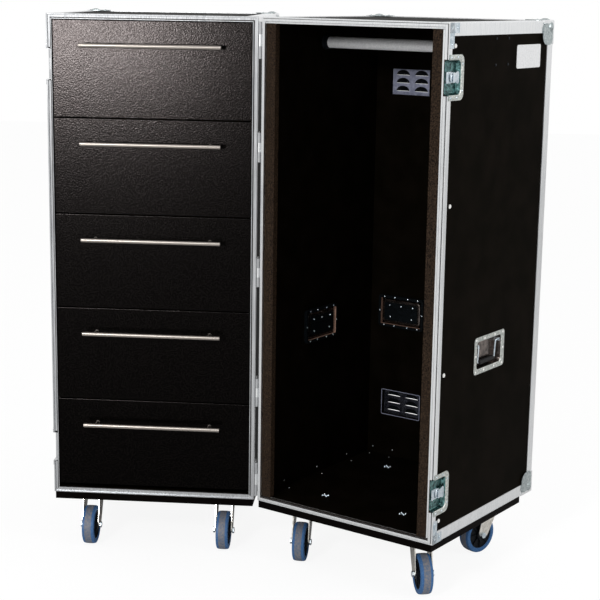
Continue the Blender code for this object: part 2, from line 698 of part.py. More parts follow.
def garment_rail(half):
    low, high = NEAR + WALL + FIT_GAP, FAR - WALL - FIT_GAP
    rail = rod((low + 4, RAIL_Y, RAIL_Z), (high - 4, RAIL_Y, RAIL_Z), RAIL_RADIUS, 20)
    for start, end in ((low, low + SOCKET_LENGTH), (high, high - SOCKET_LENGTH)):
        union(rail, rod((start, RAIL_Y, RAIL_Z), (end, RAIL_Y, RAIL_Z), SOCKET_RADIUS, 20))
    return finish(rail, "garment_rail", "white_rail", half)


def name_plate(half):
    x, tall, deep = NEAR + CASE_WIDTH - FACE + FIT_GAP, PLATE_TALL / 2, PLATE_DEEP / 2
    outline = rounded((PLATE_Y - deep, PLATE_Z - tall), (PLATE_Y + deep, PLATE_Z + tall), (5, 5, 5, 5))
    return finish(plate(outline, x, x + 1.0), "name_plate", "white_rail", half)


def stile(half, name, face, inward, end):
    """An upright strip whose lip covers the rim's ledge; face is the x of the side face it belongs to."""
    lip, back = LEDGE_DEPTH - FIT_GAP, FRONT_SET + STILE_DEPTH
    section = [(STILE_START, FRONT_SET), (end, FRONT_SET), (end, back), (LEDGE_END + FIT_GAP, back),
               (LEDGE_END + FIT_GAP, lip), (STILE_START, lip)]
    outline = [(face + inward * inset, depth) for inset, depth in section]
    strip = plate(outline, LEDGE_END + FIT_GAP, CASE_HEIGHT - LEDGE_END - FIT_GAP, "xy")
    return finish(strip, name, "stile_brown", half)


def swivel_places(side):
    near, far = SWIVEL_SIDE, CASE_WIDTH - SWIVEL_SIDE
    left, right = (near, far) if side > 0 else (far, near)
    return {
        "front_left": (side * (NEAR + left), SWIVEL_FRONT),
        "front_right": (side * (NEAR + right), SWIVEL_FRONT),
        "rear_left": (side * (NEAR + left), CASE_DEPTH - SWIVEL_REAR),
        "rear_right": (side * (NEAR + right), CASE_DEPTH - SWIVEL_REAR),
    }


def caster_board(side, name, half):
    """Board with its rear corners cut off, the caster plates and their ball races."""
    x = span(side, BOARD_INSET, CASE_WIDTH - BOARD_INSET)
    front, rear = 1.0, CASE_DEPTH - BOARD_INSET
    corner = BOARD_CORNER
    outline = [(x[0], front), (x[1], front), (x[1], rear - corner), (x[1] - corner, rear),
               (x[0] + corner, rear), (x[0], rear - corner)]
    top = -FIT_GAP
    board = plate(outline, top - BOARD_THICK, top, "xy")
    under = top - BOARD_THICK
    wide, deep, thick = PLATE_SIZE
    for place in swivel_places(side).values():
        a, b = place
        low, high = (a - wide / 2, b - deep / 2, under - thick), (a + wide / 2, b + deep / 2, under + 1)
        union(board, box(low, high),
              rod((a, b, under - thick - RACE_TALL), (a, b, under - 1), RACE_RADIUS, 16))
    return finish(board, name, "board_black", half)


CROWN_TOP = CASE_LIFT - FIT_GAP - BOARD_THICK - PLATE_SIZE[2] - RACE_TALL - FIT_GAP


def caster_fork():
    """Pressed fork with its axle bolt, its origin on the swivel axis at floor level."""
    low = CROWN_TOP - CROWN_TALL
    fork = rod((0, 0, low), (0, 0, CROWN_TOP), RACE_RADIUS, 16)
    arm = [(RACE_RADIUS - 4, CROWN_TOP - 1), (-RACE_RADIUS + 2, CROWN_TOP - 1)]
    arm += arc((-TRAIL, WHEEL_RADIUS), 13, 168, 330, 5) + [(RACE_RADIUS - 4, low - 8)]
    for side in (-1, 1):
        x = sorted((side * FORK_INNER, side * (FORK_INNER + FORK_METAL)))
        union(fork, plate(arm, x[0], x[1]))
    reach = FORK_INNER + FORK_METAL
    axle = (-TRAIL, WHEEL_RADIUS)
    union(fork, rod((-reach - 1, *axle), (reach + 1, *axle), AXLE_RADIUS, 10))
    for side in (-1, 1):
        union(fork, rod((side * (reach - 1), *axle), (side * (reach + 5), *axle), BOLT_RADIUS, 6))
    return fork


def caster_wheel():
    """Hub and tyre turned about x, with flats on the floor at the rolling radius."""
    tread = WHEEL_RADIUS / math.cos(math.pi / WHEEL_STEPS)
    bore = (AXLE_RADIUS + BORE_GAP) / math.cos(math.pi / WHEEL_STEPS)
    side = [(bore, HUB_HALF), (14, HUB_HALF), (17, 11), (36, 11), (40, TYRE_HALF), (tread, TYRE_HALF - 6)]
    profile = side + [(radius, -half) for radius, half in reversed(side)]
    bm = bmesh.new()
    start = math.pi / WHEEL_STEPS
    verts = []
    for radius, x in profile:
        verts.append(bm.verts.new(mm(x, radius * math.sin(start), -radius * math.cos(start))))
    edges = [bm.edges.new((verts[i - 1], verts[i])) for i in range(len(verts))]
    bmesh.ops.spin(bm, geom=verts + edges, cent=(0, 0, 0), axis=(1, 0, 0), angle=math.tau,
                   steps=WHEEL_STEPS, use_merge=True, use_duplicate=False)
    return solid(bm)


def casters(side, half, prefix, angles, fork, wheel):
    places = swivel_places(side)
    for name, angle in angles:
        a, b = places[name]
        swivel = copy_of(fork, "%s_%s_fork" % (prefix, name), half, (a, b, -CASE_LIFT), angle)
        copy_of(wheel, "%s_%s_wheel" % (prefix, name), swivel, (0, -TRAIL, WHEEL_RADIUS))


def handles(half, dish, bail, places):
    reach, rise = BAIL_PIVOT
    for name, place, turn in places:
        seat = copy_of(dish, "%s_handle_dish" % name, half, place, turn)
        copy_of(bail, "%s_handle" % name, seat, (reach, 0, rise))


def latches(half):
    dish = finish(latch_dish(), "upper_latch_dish", "zinc", half)
    hook = finish(latch_hook(), "upper_latch_hook", "zinc", half)
    rotor = finish(latch_rotor(), "upper_latch_rotor", "zinc", half)
    wing = finish(latch_wing(), "upper_latch_wing", "zinc", half)
    dish.location = mm(FAR, 0, LATCH_CENTRES[1])
    hook.parent = dish
    rotor.parent = dish
    rotor.location = mm(0, ROTOR_SET, 0)
    wing.parent = rotor
    wing.location = mm(WING_AXIS, 0, 0)
    lower = copy_of(dish, "lower_latch_dish", half, (FAR, 0, LATCH_CENTRES[0]))
    copy_of(hook, "lower_latch_hook", lower)
    turned = copy_of(rotor, "lower_latch_rotor", lower, (0, ROTOR_SET, 0))
    copy_of(wing, "lower_latch_wing", turned, (WING_AXIS, 0, 0))


def drawer_half(half, fork, wheel, dish, bail):
    drawer_shell(half)
    rim = front_rim(-1, GROOVE)
    union(rim, *[latch_keeper(centre) for centre in LATCH_CENTRES])
    finish(rim, "drawer_front_rim", "aluminium", half)
    finish(edge_frame(-1), "drawer_edge_frame", "aluminium", half)
    pull = finish(drawer_pull(), "drawer_%d_pull" % DRAWER_COUNT, "brushed_steel", None)
    middle = -(NEAR + CASE_WIDTH / 2)
    for index in range(DRAWER_COUNT):
        body = drawer(half, index)
        low, tall = drawer_z(index)
        place = (middle, FRONT_SET, low + tall - PULL_DROP)
        if index == 0:
            pull.parent, pull.location = body, mm(*place)
        else:
            copy_of(pull, "drawer_%d_pull" % (DRAWER_COUNT - index), body, place)
    handles(half, dish, bail, [("drawer_side", (-(FAR - FACE), SIDE_HANDLE_Y, HANDLE_HEIGHT), 180)])
    caster_board(-1, "drawer_caster_board", half)
    casters(-1, half, "drawer", DRAWER_SWIVELS, fork, wheel)


def wardrobe_half(half, fork, wheel, dish, bail):
    wardrobe_panels(half)
    finish(front_rim(1, TONGUE), "wardrobe_front_rim", "aluminium", half)
    finish(edge_frame(1), "wardrobe_edge_frame", "aluminium", half)
    stile(half, "hinge_side_stile", NEAR, 1, HINGE_STILE_END)
    stile(half, "latch_side_stile", FAR, -1, LATCH_STILE_END)
    garment_rail(half)
    name_plate(half)
    louvres = finish(vent(), "lower_vent", "zinc", half, (VENT_X, PANEL_BACK, VENT_HEIGHTS[0]))
    copy_of(louvres, "upper_vent", half, (VENT_X, PANEL_BACK, VENT_HEIGHTS[1]))
    handles(half, dish, bail, [
        ("latch_side", (FAR - FACE, SIDE_HANDLE_Y, HANDLE_HEIGHT), 0),
        ("hinge_side", (NEAR + FACE, SIDE_HANDLE_Y, HANDLE_HEIGHT), 180),
        ("back", (BACK_HANDLE_X, PANEL_BACK, HANDLE_HEIGHT), 90),
    ])
    latches(half)
    caster_board(1, "wardrobe_caster_board", half)
    casters(1, half, "wardrobe", WARDROBE_SWIVELS, fork, wheel)


def build():
    corner = (*HINGE_AXIS, CASE_LIFT)
    left = empty("drawer_half", corner)
    right = empty("wardrobe_half", corner, OPEN_ANGLE - 180)
    fork = finish(caster_fork(), "fork_pattern", "zinc", None)
    wheel = finish(caster_wheel(), "wheel_pattern", "blue_tyre", None)
    dish = finish(handle_dish(), "dish_pattern", "zinc", None)
    bail = finish(handle_bail(), "bail_pattern", "rubber", None)
    drawer_half(left, fork, wheel, dish, bail)
    wardrobe_half(right, fork, wheel, dish, bail)
    for pattern in (fork, wheel, dish, bail):
        bpy.data.objects.remove(pattern, do_unlink=True)
    bpy.context.view_layer.update()


build()
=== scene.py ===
import json
import math

import bmesh
import bpy
from mathutils import Matrix, Vector

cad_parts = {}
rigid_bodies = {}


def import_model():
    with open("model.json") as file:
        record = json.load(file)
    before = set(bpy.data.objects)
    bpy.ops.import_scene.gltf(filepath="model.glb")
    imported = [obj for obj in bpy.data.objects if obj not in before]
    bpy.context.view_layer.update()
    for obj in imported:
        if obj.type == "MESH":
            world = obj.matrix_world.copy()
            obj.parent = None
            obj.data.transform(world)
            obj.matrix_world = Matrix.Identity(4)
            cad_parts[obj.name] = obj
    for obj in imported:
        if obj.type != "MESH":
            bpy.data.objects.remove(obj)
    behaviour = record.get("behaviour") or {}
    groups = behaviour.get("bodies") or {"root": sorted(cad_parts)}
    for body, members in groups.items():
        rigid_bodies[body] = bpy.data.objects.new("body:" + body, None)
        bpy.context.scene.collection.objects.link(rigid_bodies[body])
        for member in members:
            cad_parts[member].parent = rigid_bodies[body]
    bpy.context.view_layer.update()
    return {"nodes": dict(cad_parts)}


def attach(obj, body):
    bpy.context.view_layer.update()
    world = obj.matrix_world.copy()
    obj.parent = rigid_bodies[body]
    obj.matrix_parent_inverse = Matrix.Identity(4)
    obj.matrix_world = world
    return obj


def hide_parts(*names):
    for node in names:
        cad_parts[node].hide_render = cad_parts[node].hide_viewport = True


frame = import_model()
nodes = frame["nodes"]
print("stage: frame loaded,", len(nodes), "nodes")

# Where the two halves stand. Lengths are in millimetres up to metres(), but lamps are in metres.
caseData = {
    "hinge": (-91.5, -122.4),   # hinge line in the row frame
    "lift": 155.0,              # floor to the underside of the case
    "turn": -31.0,              # wardrobe half about the hinge line
    "width": 520.0,
    "depth": 510.0,
    "height": 1220.0,
    "near": 5.0,                # side face to the hinge line
    "panel": 2.3,               # a panel's face, behind the outer face of the edge profiles
    "wall": 11.5,               # thickness of a panel
}
caseNear, caseWidth, caseDepth, caseHeight = [caseData[key] for key in ("near", "width", "depth", "height")]
caseFar = caseNear + caseWidth
caseMiddle = caseNear + caseWidth / 2
innerWall = caseData["panel"] + caseData["wall"]
sideOf = {"drawer": -1, "wardrobe": 1}
latchHeights = {"lower": 122.0, "upper": 1098.0}


def metres(*values):
    scaled = [v * 0.001 for v in values]
    return scaled[0] if len(scaled) == 1 else Vector(scaled)


def shiftBy(x, y, z):
    return Matrix.Translation((x, y, z))


def turnBy(degrees, axis):
    return Matrix.Rotation(math.radians(degrees), 4, axis)


def linked(name, data):
    item = bpy.data.objects.new(name, data)
    bpy.context.scene.collection.objects.link(item)
    return item


def asObject(bm, name):
    mesh = bpy.data.meshes.new(name)
    bm.to_mesh(mesh)
    bm.free()
    return linked(name, mesh)


# Camera, solved from the photograph's own lines
cameraData = {
    "place": (300.7, -3758.4, 1444.5),
    "forward": (-0.0768, 0.9759, -0.2044),
    "roll": 0.91,
    "lens": 89.73,
}


def makeCamera():
    camera = linked("photoCamera", bpy.data.cameras.new("photoCamera"))
    camera.data.lens = cameraData["lens"]
    camera.data.sensor_width = 36.0
    camera.data.clip_end = 50.0
    turn = Vector(cameraData["forward"]).to_track_quat("-Z", "Y").to_matrix().to_4x4()
    camera.matrix_world = shiftBy(*metres(*cameraData["place"])) @ turn @ turnBy(cameraData["roll"], "Z")
    bpy.context.scene.camera = camera


makeCamera()
print("stage: camera")

# Light: a pale room, a small key lamp at the upper left, a soft fill at the right, and a low wide card
# that only shines back from glossy faces
lightData = {
    "world": 0.55,
    "lamps": (    # name, place, aim, size, watts, and if it lights matt faces
        ("keyLamp", (-1.6, -3.9, 2.4), (-0.2, 0.0, 0.8), (0.6, 0.5), 75.0, True),
        ("fillLamp", (3.4, -1.6, 2.2), (0.3, 0.0, 0.7), (2.2, 2.2), 40.0, True),
        ("shineCard", (-1.7, -3.9, 1.27), (-0.3, 0.0, 1.2), (1.5, 0.30), 640.0, False),
    ),
    "shineOn": "drawerFront",   # the card shines on these pieces alone
    "floor": 12.0,
    "floorGlow": 0.85,     # share of the floor's own pale light in what the camera sees of it
    "glow": 1.06,          # strength of that light
}


def addNode(tree, kind, settings=None, links=None):
    # One shader node; settings are sockets or properties, links are (socket, source node, its output).
    node = tree.nodes.new("ShaderNode" + kind)
    for key, value in (settings or {}).items():
        if isinstance(key, int) or key in node.inputs:
            node.inputs[key].default_value = value
        else:
            setattr(node, key, value)
    for socket, source, output in links or ():
        tree.links.new(source.outputs[output], node.inputs[socket])
    return node


def newMaterial(name, settings):
    material = bpy.data.materials.new(name)
    material.use_nodes = True
    shader = material.node_tree.nodes["Principled BSDF"]
    for socket, value in settings.items():
        shader.inputs[socket].default_value = value
    return material, material.node_tree, shader


def linear(code):
    # An sRGB hex colour as the linear colour that a shader takes.
    values = [int(code[i:i + 2], 16) / 255 for i in (1, 3, 5)]
    return tuple(v / 12.92 if v <= 0.04045 else ((v + 0.055) / 1.055) ** 2.4 for v in values) + (1.0,)


def grey(value):
    return (value, value, value, 1)


def makeWorld():
    world = bpy.data.worlds.new("paleRoom")
    bpy.context.scene.world = world
    world.use_nodes = True
    tree = world.node_tree
    tree.nodes.clear()
    path = addNode(tree, "LightPath")
    seen, output = path, "Is Camera Ray"
    for ray in ("Is Transmission Ray", "Is Glossy Ray"):
        seen = addNode(tree, "Math", {"operation": "MAXIMUM"}, [(0, seen, output), (1, path, ray)])
        output = 0
    soft, white = [addNode(tree, "Background", {"Color": grey(1), "Strength": strength})
                   for strength in (lightData["world"], 1.0)]
    mixed = addNode(tree, "MixShader", {}, [(0, seen, 0), (1, soft, 0), (2, white, 0)])
    addNode(tree, "OutputWorld", {}, [("Surface", mixed, 0)])


def makeLamps():
    for name, place, aim, size, power, diffuse in lightData["lamps"]:
        lamp = linked(name, bpy.data.lights.new(name, "AREA"))
        lamp.data.shape = "RECTANGLE"
        lamp.data.size, lamp.data.size_y = size
        lamp.data.energy = power
        lamp.visible_diffuse = diffuse
        lamp.location = place
        lamp.rotation_euler = (Vector(aim) - Vector(place)).to_track_quat("-Z", "Y").to_euler()


def makeFloor():
    bm = bmesh.new()
    bmesh.ops.create_grid(bm, x_segments=1, y_segments=1, size=lightData["floor"])
    floor = asObject(bm, "paleFloor")
    material, tree, shader = newMaterial("palePaperFloor", {"Base Color": linear("#f4f4f4"), "Roughness": 0.9})
    path = addNode(tree, "LightPath")
    glow = addNode(tree, "Emission", {"Color": grey(1), "Strength": lightData["glow"]})
    both = addNode(tree, "MixShader", {"Fac": lightData["floorGlow"]}, [(1, shader, 0), (2, glow, 0)])
    mixed = addNode(tree, "MixShader", {},
                    [(0, path, "Is Camera Ray"), (1, shader, 0), (2, both, 0)])
    tree.links.new(mixed.outputs[0], tree.nodes["Material Output"].inputs["Surface"])
    floor.data.materials.append(material)


bpy.context.scene.view_settings.view_transform = "Standard"
makeWorld()
makeLamps()
makeFloor()
print("stage: light and floor")


# Materials. Patterns read Object coordinates, turned with the half that carries them where that shows.

def patternSpace(tree, stretch=(1, 1, 1), turn=0.0):
    # Object coordinates in millimetres, squeezed along an axis by stretch and turned about Z.
    place = addNode(tree, "TexCoord")
    turned = addNode(tree, "Mapping", {"Rotation": (0, 0, math.radians(-turn))},
                     [("Vector", place, "Object")])
    return addNode(tree, "Mapping", {"Scale": tuple(1000.0 * s for s in stretch)},
                   [("Vector", turned, 0)])


def noise(tree, space, size, detail=2.0, roughness=0.5):
    # Noise whose blobs are about size millimetres across.
    return addNode(tree, "TexNoise", {"Scale": 1.0 / size, "Detail": detail, "Roughness": roughness},
                   [("Vector", space, 0)])


def ramp(shader, socket, source, low, high, first, last):
    # Drives a socket of the shader by a pattern, from the first colour to the last.
    tree = shader.id_data
    node = addNode(tree, "ValToRGB", {}, [("Fac", source, 0)])
    for element, position, colour in zip(node.color_ramp.elements, (low, high), (first, last)):
        element.position = position
        element.color = colour
    tree.links.new(node.outputs[0], shader.inputs[socket])


def bump(shader, source, strength, height):
    tree = shader.id_data
    node = addNode(tree, "Bump", {"Strength": strength, "Distance": metres(height)},
                   [("Height", source, 0)])
    tree.links.new(node.outputs[0], shader.inputs["Normal"])


def phenolicFilm(name, turn=0.0):
    # Phenolic film on birch ply, hot pressed: dark brown-black, a faint wire-mesh grain and a dull sheen.
    material, tree, shader = newMaterial(name, {"IOR": 1.5, "Specular IOR Level": 0.008})
    space = patternSpace(tree, turn=turn)
    cloudy = noise(tree, space, 60.0, 4.0)
    ramp(shader, "Base Color", cloudy, 0.35, 0.75, linear("#080603"), linear("#100c08"))
    grain = noise(tree, space, 1.6)     # film grain is 0.3 mm, drawn coarser to show
    ramp(shader, "Roughness", grain, 0.3, 0.7, grey(0.42), grey(0.58))
    bump(shader, grain, 0.25, 0.15)
    return material


def pebbledBlack(name):
    # Black PVC foil with a pebble grain on the drawer fronts: small glints at every pebble.
    material, tree, shader = newMaterial(name, {"Roughness": 0.20, "IOR": 1.5, "Specular IOR Level": 0.042})
    space = patternSpace(tree)
    cells = addNode(tree, "TexVoronoi", {"Scale": 1.0 / 3.0, "feature": "SMOOTH_F1"},
                    [("Vector", space, 0)])
    pebbles = noise(tree, space, 2.7, 2.0, 0.6)     # 1 mm pebbles, drawn coarser to show
    ramp(shader, "Base Color", pebbles, 0.45, 0.75, linear("#010101"), linear("#070504"))
    ramp(shader, "Specular Tint", pebbles, 0.36, 0.66, (0.36, 0.30, 0.29, 1), (1.0, 0.89, 0.87, 1))
    bump(shader, cells, 0.45, 0.4)
    return material


def brushedAluminium(name, dull, clean):
    # Extruded aluminium, lightly brushed along its height: pale, with fine streaks and a few dull marks.
    material, tree, shader = newMaterial(name, {"Metallic": 1.0})
    streaks = noise(tree, patternSpace(tree, (1, 1, 0.012)), 0.9, 3.0, 0.6)
    ramp(shader, "Base Color", streaks, 0.3, 0.72, linear(dull), linear(clean))
    ramp(shader, "Roughness", streaks, 0.3, 0.7, grey(0.24), grey(0.40))
    bump(shader, streaks, 0.08, 0.1)
    return material


def zincPlate(name, tint, shade, size):
    # Pressed steel with blue-passivated zinc: bright and cool, with cloudy darker blooms.
    material, tree, shader = newMaterial(name, {"Metallic": 1.0})
    space = patternSpace(tree)
    bloom = noise(tree, space, size, 4.0, 0.6)
    ramp(shader, "Base Color", bloom, 0.34, 0.70, linear(shade), linear(tint))
    fine = noise(tree, space, 1.2)
    ramp(shader, "Roughness", fine, 0.3, 0.7, grey(0.20), grey(0.34))
    bump(shader, fine, 0.06, 0.08)
    return material


def plainGrain(name, base, spot, size, roughness, metallic=0.0, height=0.12, strength=0.25, gloss=0.2):
    # A moulded or coated surface with a fine grain, its size in millimetres.
    settings = {"Roughness": roughness, "Metallic": metallic}
    if metallic < 0.5:
        settings["Specular IOR Level"] = gloss
    material, tree, shader = newMaterial(name, settings)
    grain = noise(tree, patternSpace(tree), size, 3.0, 0.6)
    ramp(shader, "Base Color", grain, 0.36, 0.72, linear(base), linear(spot))
    bump(shader, grain, strength, height)
    return material


finishes = {
    "phenolicDrawer": phenolicFilm("phenolicFilmDrawerHalf"),
    "phenolicWardrobe": phenolicFilm("phenolicFilmWardrobeHalf", caseData["turn"]),
    "pebbled": pebbledBlack("pebbledBlackFoil"),
    "alloyUpright": brushedAluminium("brushedAluminiumUpright", "#d0d3d6", "#f1f1f0"),
    # the two front rims are one extrusion: the wardrobe half's takes the pale upright finish, the drawer half's
    # this darker copy, painted light and shade
    "alloyRim": brushedAluminium("dullAluminiumRim", "#989a9d", "#cfd0d1"),
    "zinc": zincPlate("bluePassivatedZinc", "#dfe5e9", "#a9b8c2", 14.0),
    "zincDeep": zincPlate("bluePassivatedZincDeep", "#6f9a98", "#0a1c1f", 7.0),    # green-blue and dark: painted shade inside the latch wells
    "ventZinc": zincPlate("lilacZincSheet", "#b9bccb", "#757a92", 14.0),
    "panGrey": zincPlate("wornHandlePan", "#8e827c", "#4c4643", 14.0),             # warm and darker: painted shade and a painted warm reflection inside the handle wells
    "flangeZinc": zincPlate("speckledZincFlange", "#e6e7e2", "#939a96", 4.0),
    "cornerZinc": zincPlate("spangledZincCorner", "#c3caca", "#7f8a8c", 5.0),
    "forkZinc": zincPlate("creamyZincFork", "#ebe7df", "#bab6ae", 9.0),
    # coated, moulded and sawn ones: two tones of one colour, under a grain that dulls the shine
    # dark strips of painted shade in the rims' grooves and ledges
    "oxide": plainGrain("darkOxideLine", "#15110f", "#35302d", 3.0, 0.7, gloss=0.05),
    # a paler, less metallic copy of the vent sheet for the upper vent and the bead, so that it shows lit:
    # painted light
    "ventPale": plainGrain("lilacPaintedSheet", "#8f93aa", "#b4b7cb", 9.0, 0.42, 0.3, 0.05, 0.1),
    "plyEdge": plainGrain("sawnPlyEdge", "#8f7163", "#bd9a87", 3.0, 0.6, gloss=0.1),
    # white rivet heads that stand for their glints: a painted highlight
    "whiteRivet": plainGrain("whiteCappedRivet", "#efeeea", "#fbfbf8", 2.0, 0.35, gloss=0.4),
    # near black: painted shade on the dish backs and inside the vent hoods, and the dark face of the frames
    # round the dishes
    "shade": plainGrain("darkPaintedSteel", "#040607", "#0d1216", 5.0, 0.45, gloss=0.1),
    "stile": plainGrain("brownBlackStileFilm", "#050201", "#423428", 3.1, 0.62, gloss=0.06),
    "steel": plainGrain("brushedStainlessSteel", "#8d8781", "#aaa39c", 1.0, 0.30, 1.0, 0.05, 0.08),
    "rubber": plainGrain("blackRubberGrip", "#0c0c0d", "#1a1a1b", 1.2, 0.55),
    "rail": plainGrain("satinWhiteRail", "#d9dadb", "#eeeeef", 4.0, 0.32, 0.0, 0.05, 0.08, 0.5),
    "board": plainGrain("blackBoardFilm", "#020101", "#0c0806", 2.0, 0.50, gloss=0.02),
    "drawerPly": plainGrain("birchPly", "#b08d5f", "#cba979", 6.0, 0.55),
    "tread": plainGrain("wornGreyTread", "#5b6a7f", "#8b8380", 5.0, 0.62, gloss=0.1),
    "hub": plainGrain("darkGreyHub", "#0a0c0f", "#171b20", 1.6, 0.45, gloss=0.1),
    "tyreBlue": plainGrain("blueElasticTyre", "#355b8b", "#4f76a2", 3.0, 0.52, gloss=0.1),
}
print("stage: materials,", len(finishes))

nodeFinish = {
    # drawer_front_rim takes the darker copy of the aluminium and wardrobe_front_rim the paler one: painted
    # shade and light
    "drawer_case_shell": "phenolicDrawer", "drawer_front_rim": "alloyRim", "wardrobe_front_rim": "alloyUpright",
    "garment_rail": "rail", "name_plate": "rail",
}
endings = {
    "_panel": "phenolicWardrobe", "_frame": "alloyUpright", "_stile": "stile", "_board": "board",
    "_pull": "steel", "_wheel": "tyreBlue", "_handle": "rubber",
}


def finishOf(name):
    if name.startswith("drawer_") and name[7:].isdigit():
        return "pebbled"
    for ending, finish in endings.items():
        if name.endswith(ending):
            return finish
    return nodeFinish.get(name, "zinc")


for name, item in nodes.items():
    item.data.materials.clear()
    item.data.materials.append(finishes[finishOf(name)])
print("stage: frame nodes dressed")

# New pieces are made in millimetres in a half's own coordinates, then set in the row frame.

def roundCorners(bm, verts, radius, segments):
    bmesh.ops.bevel(bm, geom=verts, affect="VERTICES", offset=radius, segments=segments, profile=0.5,
                    material=-1)


def roundedFace(size, radius=0.0, segments=5):
    # A flat rounded rectangle in the XY plane.
    bm = bmesh.new()
    bmesh.ops.create_grid(bm, x_segments=1, y_segments=1, size=0.5)
    bmesh.ops.scale(bm, vec=(*size, 1), verts=bm.verts[:])
    if radius:
        roundCorners(bm, bm.verts[:], radius, segments)
    return bm


def extruded(bm, faces, shift):
    grown = bmesh.ops.extrude_face_region(bm, geom=faces)
    moved = [item for item in grown["geom"] if isinstance(item, bmesh.types.BMVert)]
    bmesh.ops.translate(bm, vec=shift, verts=moved)
    return moved


def grownUp(bm, height):
    extruded(bm, bm.faces[:], (0, 0, height))
    return bm


def softenEdges(bm, width, segments=2, angle=30):
    sharp = [e for e in bm.edges if len(e.link_faces) == 2 and e.calc_face_angle(0) > math.radians(angle)]
    bmesh.ops.bevel(bm, geom=sharp, affect="EDGES", offset=width, segments=segments, profile=0.5,
                    material=-1, clamp_overlap=True)
    return bm


def roundedSlab(size, radius, thick, soft=0.0):
    bm = grownUp(roundedFace(size, radius), thick)
    return softenEdges(bm, soft) if soft else bm


def openRing(size, radius, wide, height):
    # a rounded ring round an open middle
    bm = roundedFace(size, radius)
    bmesh.ops.inset_region(bm, faces=bm.faces[:], thickness=wide, use_boundary=True, use_even_offset=True)
    bmesh.ops.delete(bm, geom=[f for f in bm.faces if len(f.verts) > 4], context="FACES_ONLY")
    return grownUp(bm, height)


def block(low, high, soft=0.0):
    bm = bmesh.new()
    bmesh.ops.create_cube(bm, size=1.0)
    bmesh.ops.scale(bm, vec=[b - a for a, b in zip(low, high)], verts=bm.verts[:])
    bmesh.ops.translate(bm, vec=[(a + b) / 2 for a, b in zip(low, high)], verts=bm.verts[:])
    return softenEdges(bm, soft) if soft else bm


def mirrored(half):
    # a whole profile from its half on one side
    return half + [(r, -h) for r, h in reversed(half)]


def turning(profile, steps, axis="z"):
    # A closed profile of (radius, height) points spun round Z, or round X with height along X.
    bm = bmesh.new()
    verts = [bm.verts.new((r, 0, h) if axis == "z" else (h, 0, r)) for r, h in profile]
    closing = verts[:1] if profile[0][0] > 0.001 else []      # a ring's profile closes away from the axis
    for pair in zip(verts, verts[1:] + closing):
        bm.edges.new(pair)
    way = (0, 0, 1) if axis == "z" else (1, 0, 0)
    bmesh.ops.spin(bm, geom=bm.verts[:] + bm.edges[:], cent=(0, 0, 0), axis=way, angle=math.tau,
                   steps=steps, use_merge=True, use_duplicate=False)
    bmesh.ops.remove_doubles(bm, verts=bm.verts[:], dist=0.0005)
    return bm


def facedOut(bm):
    bmesh.ops.recalc_face_normals(bm, faces=bm.faces[:])
    return bm


def slicedOff(bm, place, normal):
    # keeps what lies on the normal's side of a plane, and closes the cut
    bmesh.ops.bisect_plane(bm, geom=bm.verts[:] + bm.edges[:] + bm.faces[:], plane_co=place, plane_no=normal,
                           clear_inner=True)
    bmesh.ops.holes_fill(bm, edges=[e for e in bm.edges if e.is_boundary])
    return facedOut(bm)


def placed(bm, matrix):
    bmesh.ops.transform(bm, matrix=matrix, verts=bm.verts[:])
    return bm


def added(whole, *parts):
    # Several bmeshes as one.
    for part in parts:
        mesh = bpy.data.meshes.new("spare")
        part.to_mesh(mesh)
        part.free()
        whole.from_mesh(mesh)
        bpy.data.meshes.remove(mesh)
    return whole


def evaluatedMesh(item):
    bpy.context.view_layer.update()
    return bpy.data.meshes.new_from_object(item.evaluated_get(bpy.context.evaluated_depsgraph_get()))


def asBmesh(mesh):
    bm = bmesh.new()
    bm.from_mesh(mesh)
    bpy.data.meshes.remove(mesh)
    return bm


def carved(bm, tools):
    # exact booleans with (bmesh, operation) pairs, one after the other
    spent = [asObject(bm, "carved")]
    for tool, operation in tools:
        spent.append(asObject(tool, "cutter"))
        modifier = spent[0].modifiers.new("carve", "BOOLEAN")
        modifier.object = spent[-1]
        modifier.operation = operation
        modifier.solver = "EXACT"
    whole = asBmesh(evaluatedMesh(spent[0]))
    for item in spent:
        bpy.data.meshes.remove(item.data)      # takes its object with it
    return whole


def flatFaces(item):
    # weights the normals by face area, so that eased edges leave the flats flat
    item.modifiers.new("flats", "WEIGHTED_NORMAL").keep_sharp = True
    smoothed, rough = evaluatedMesh(item), item.data
    name = rough.name
    item.modifiers.clear()
    item.data = smoothed
    bpy.data.meshes.remove(rough)
    smoothed.name = name


def piece(bm, name, finish, place, replaces=(), sharp=32, inner=None):
    # Sets a bmesh at a place, which is a body and a matrix. Faces with material 1 get the inner finish.
    body, spot = place
    item = asObject(facedOut(placed(bm, spot @ Matrix.Scale(0.001, 4))), name)
    item.data.materials.append(finishes[finish])
    if inner:
        item.data.materials.append(finishes[inner])
    item.data.shade_smooth()
    item.data.set_sharp_from_angle(angle=math.radians(sharp))
    flatFaces(item)
    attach(item, body)
    if replaces:
        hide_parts(*replaces)


def local(half, x, y, z, turn=0.0):
    # Row-frame matrix of a place on a half, with a turn about Z there.
    swing = turnBy(caseData["turn"] if half == "wardrobe" else 0.0, "Z")
    hinge = shiftBy(*metres(*caseData["hinge"], caseData["lift"])) @ swing
    return hinge @ shiftBy(*metres(x, y, z)) @ turnBy(turn, "Z")


def onHalf(half, x=0, y=0, z=0, turn=0.0):
    return half + "_half", local(half, x, y, z, turn)


def camelName(name):
    joined = name.title().replace("_", "")
    return joined[0].lower() + joined[1:]


# Faces that a fitting sits on: local Z of the fitting points out of the face.
outwardX = turnBy(90, "Y")      # local Z to +X, local X to -Z
outwardY = turnBy(-90, "X")     # local Z to +Y
standUp = Matrix(((0, 0, 1, 0), (1, 0, 0, 0), (0, 1, 0, 0), (0, 0, 0, 1)))    # local X to Y, Y to Z, Z to X


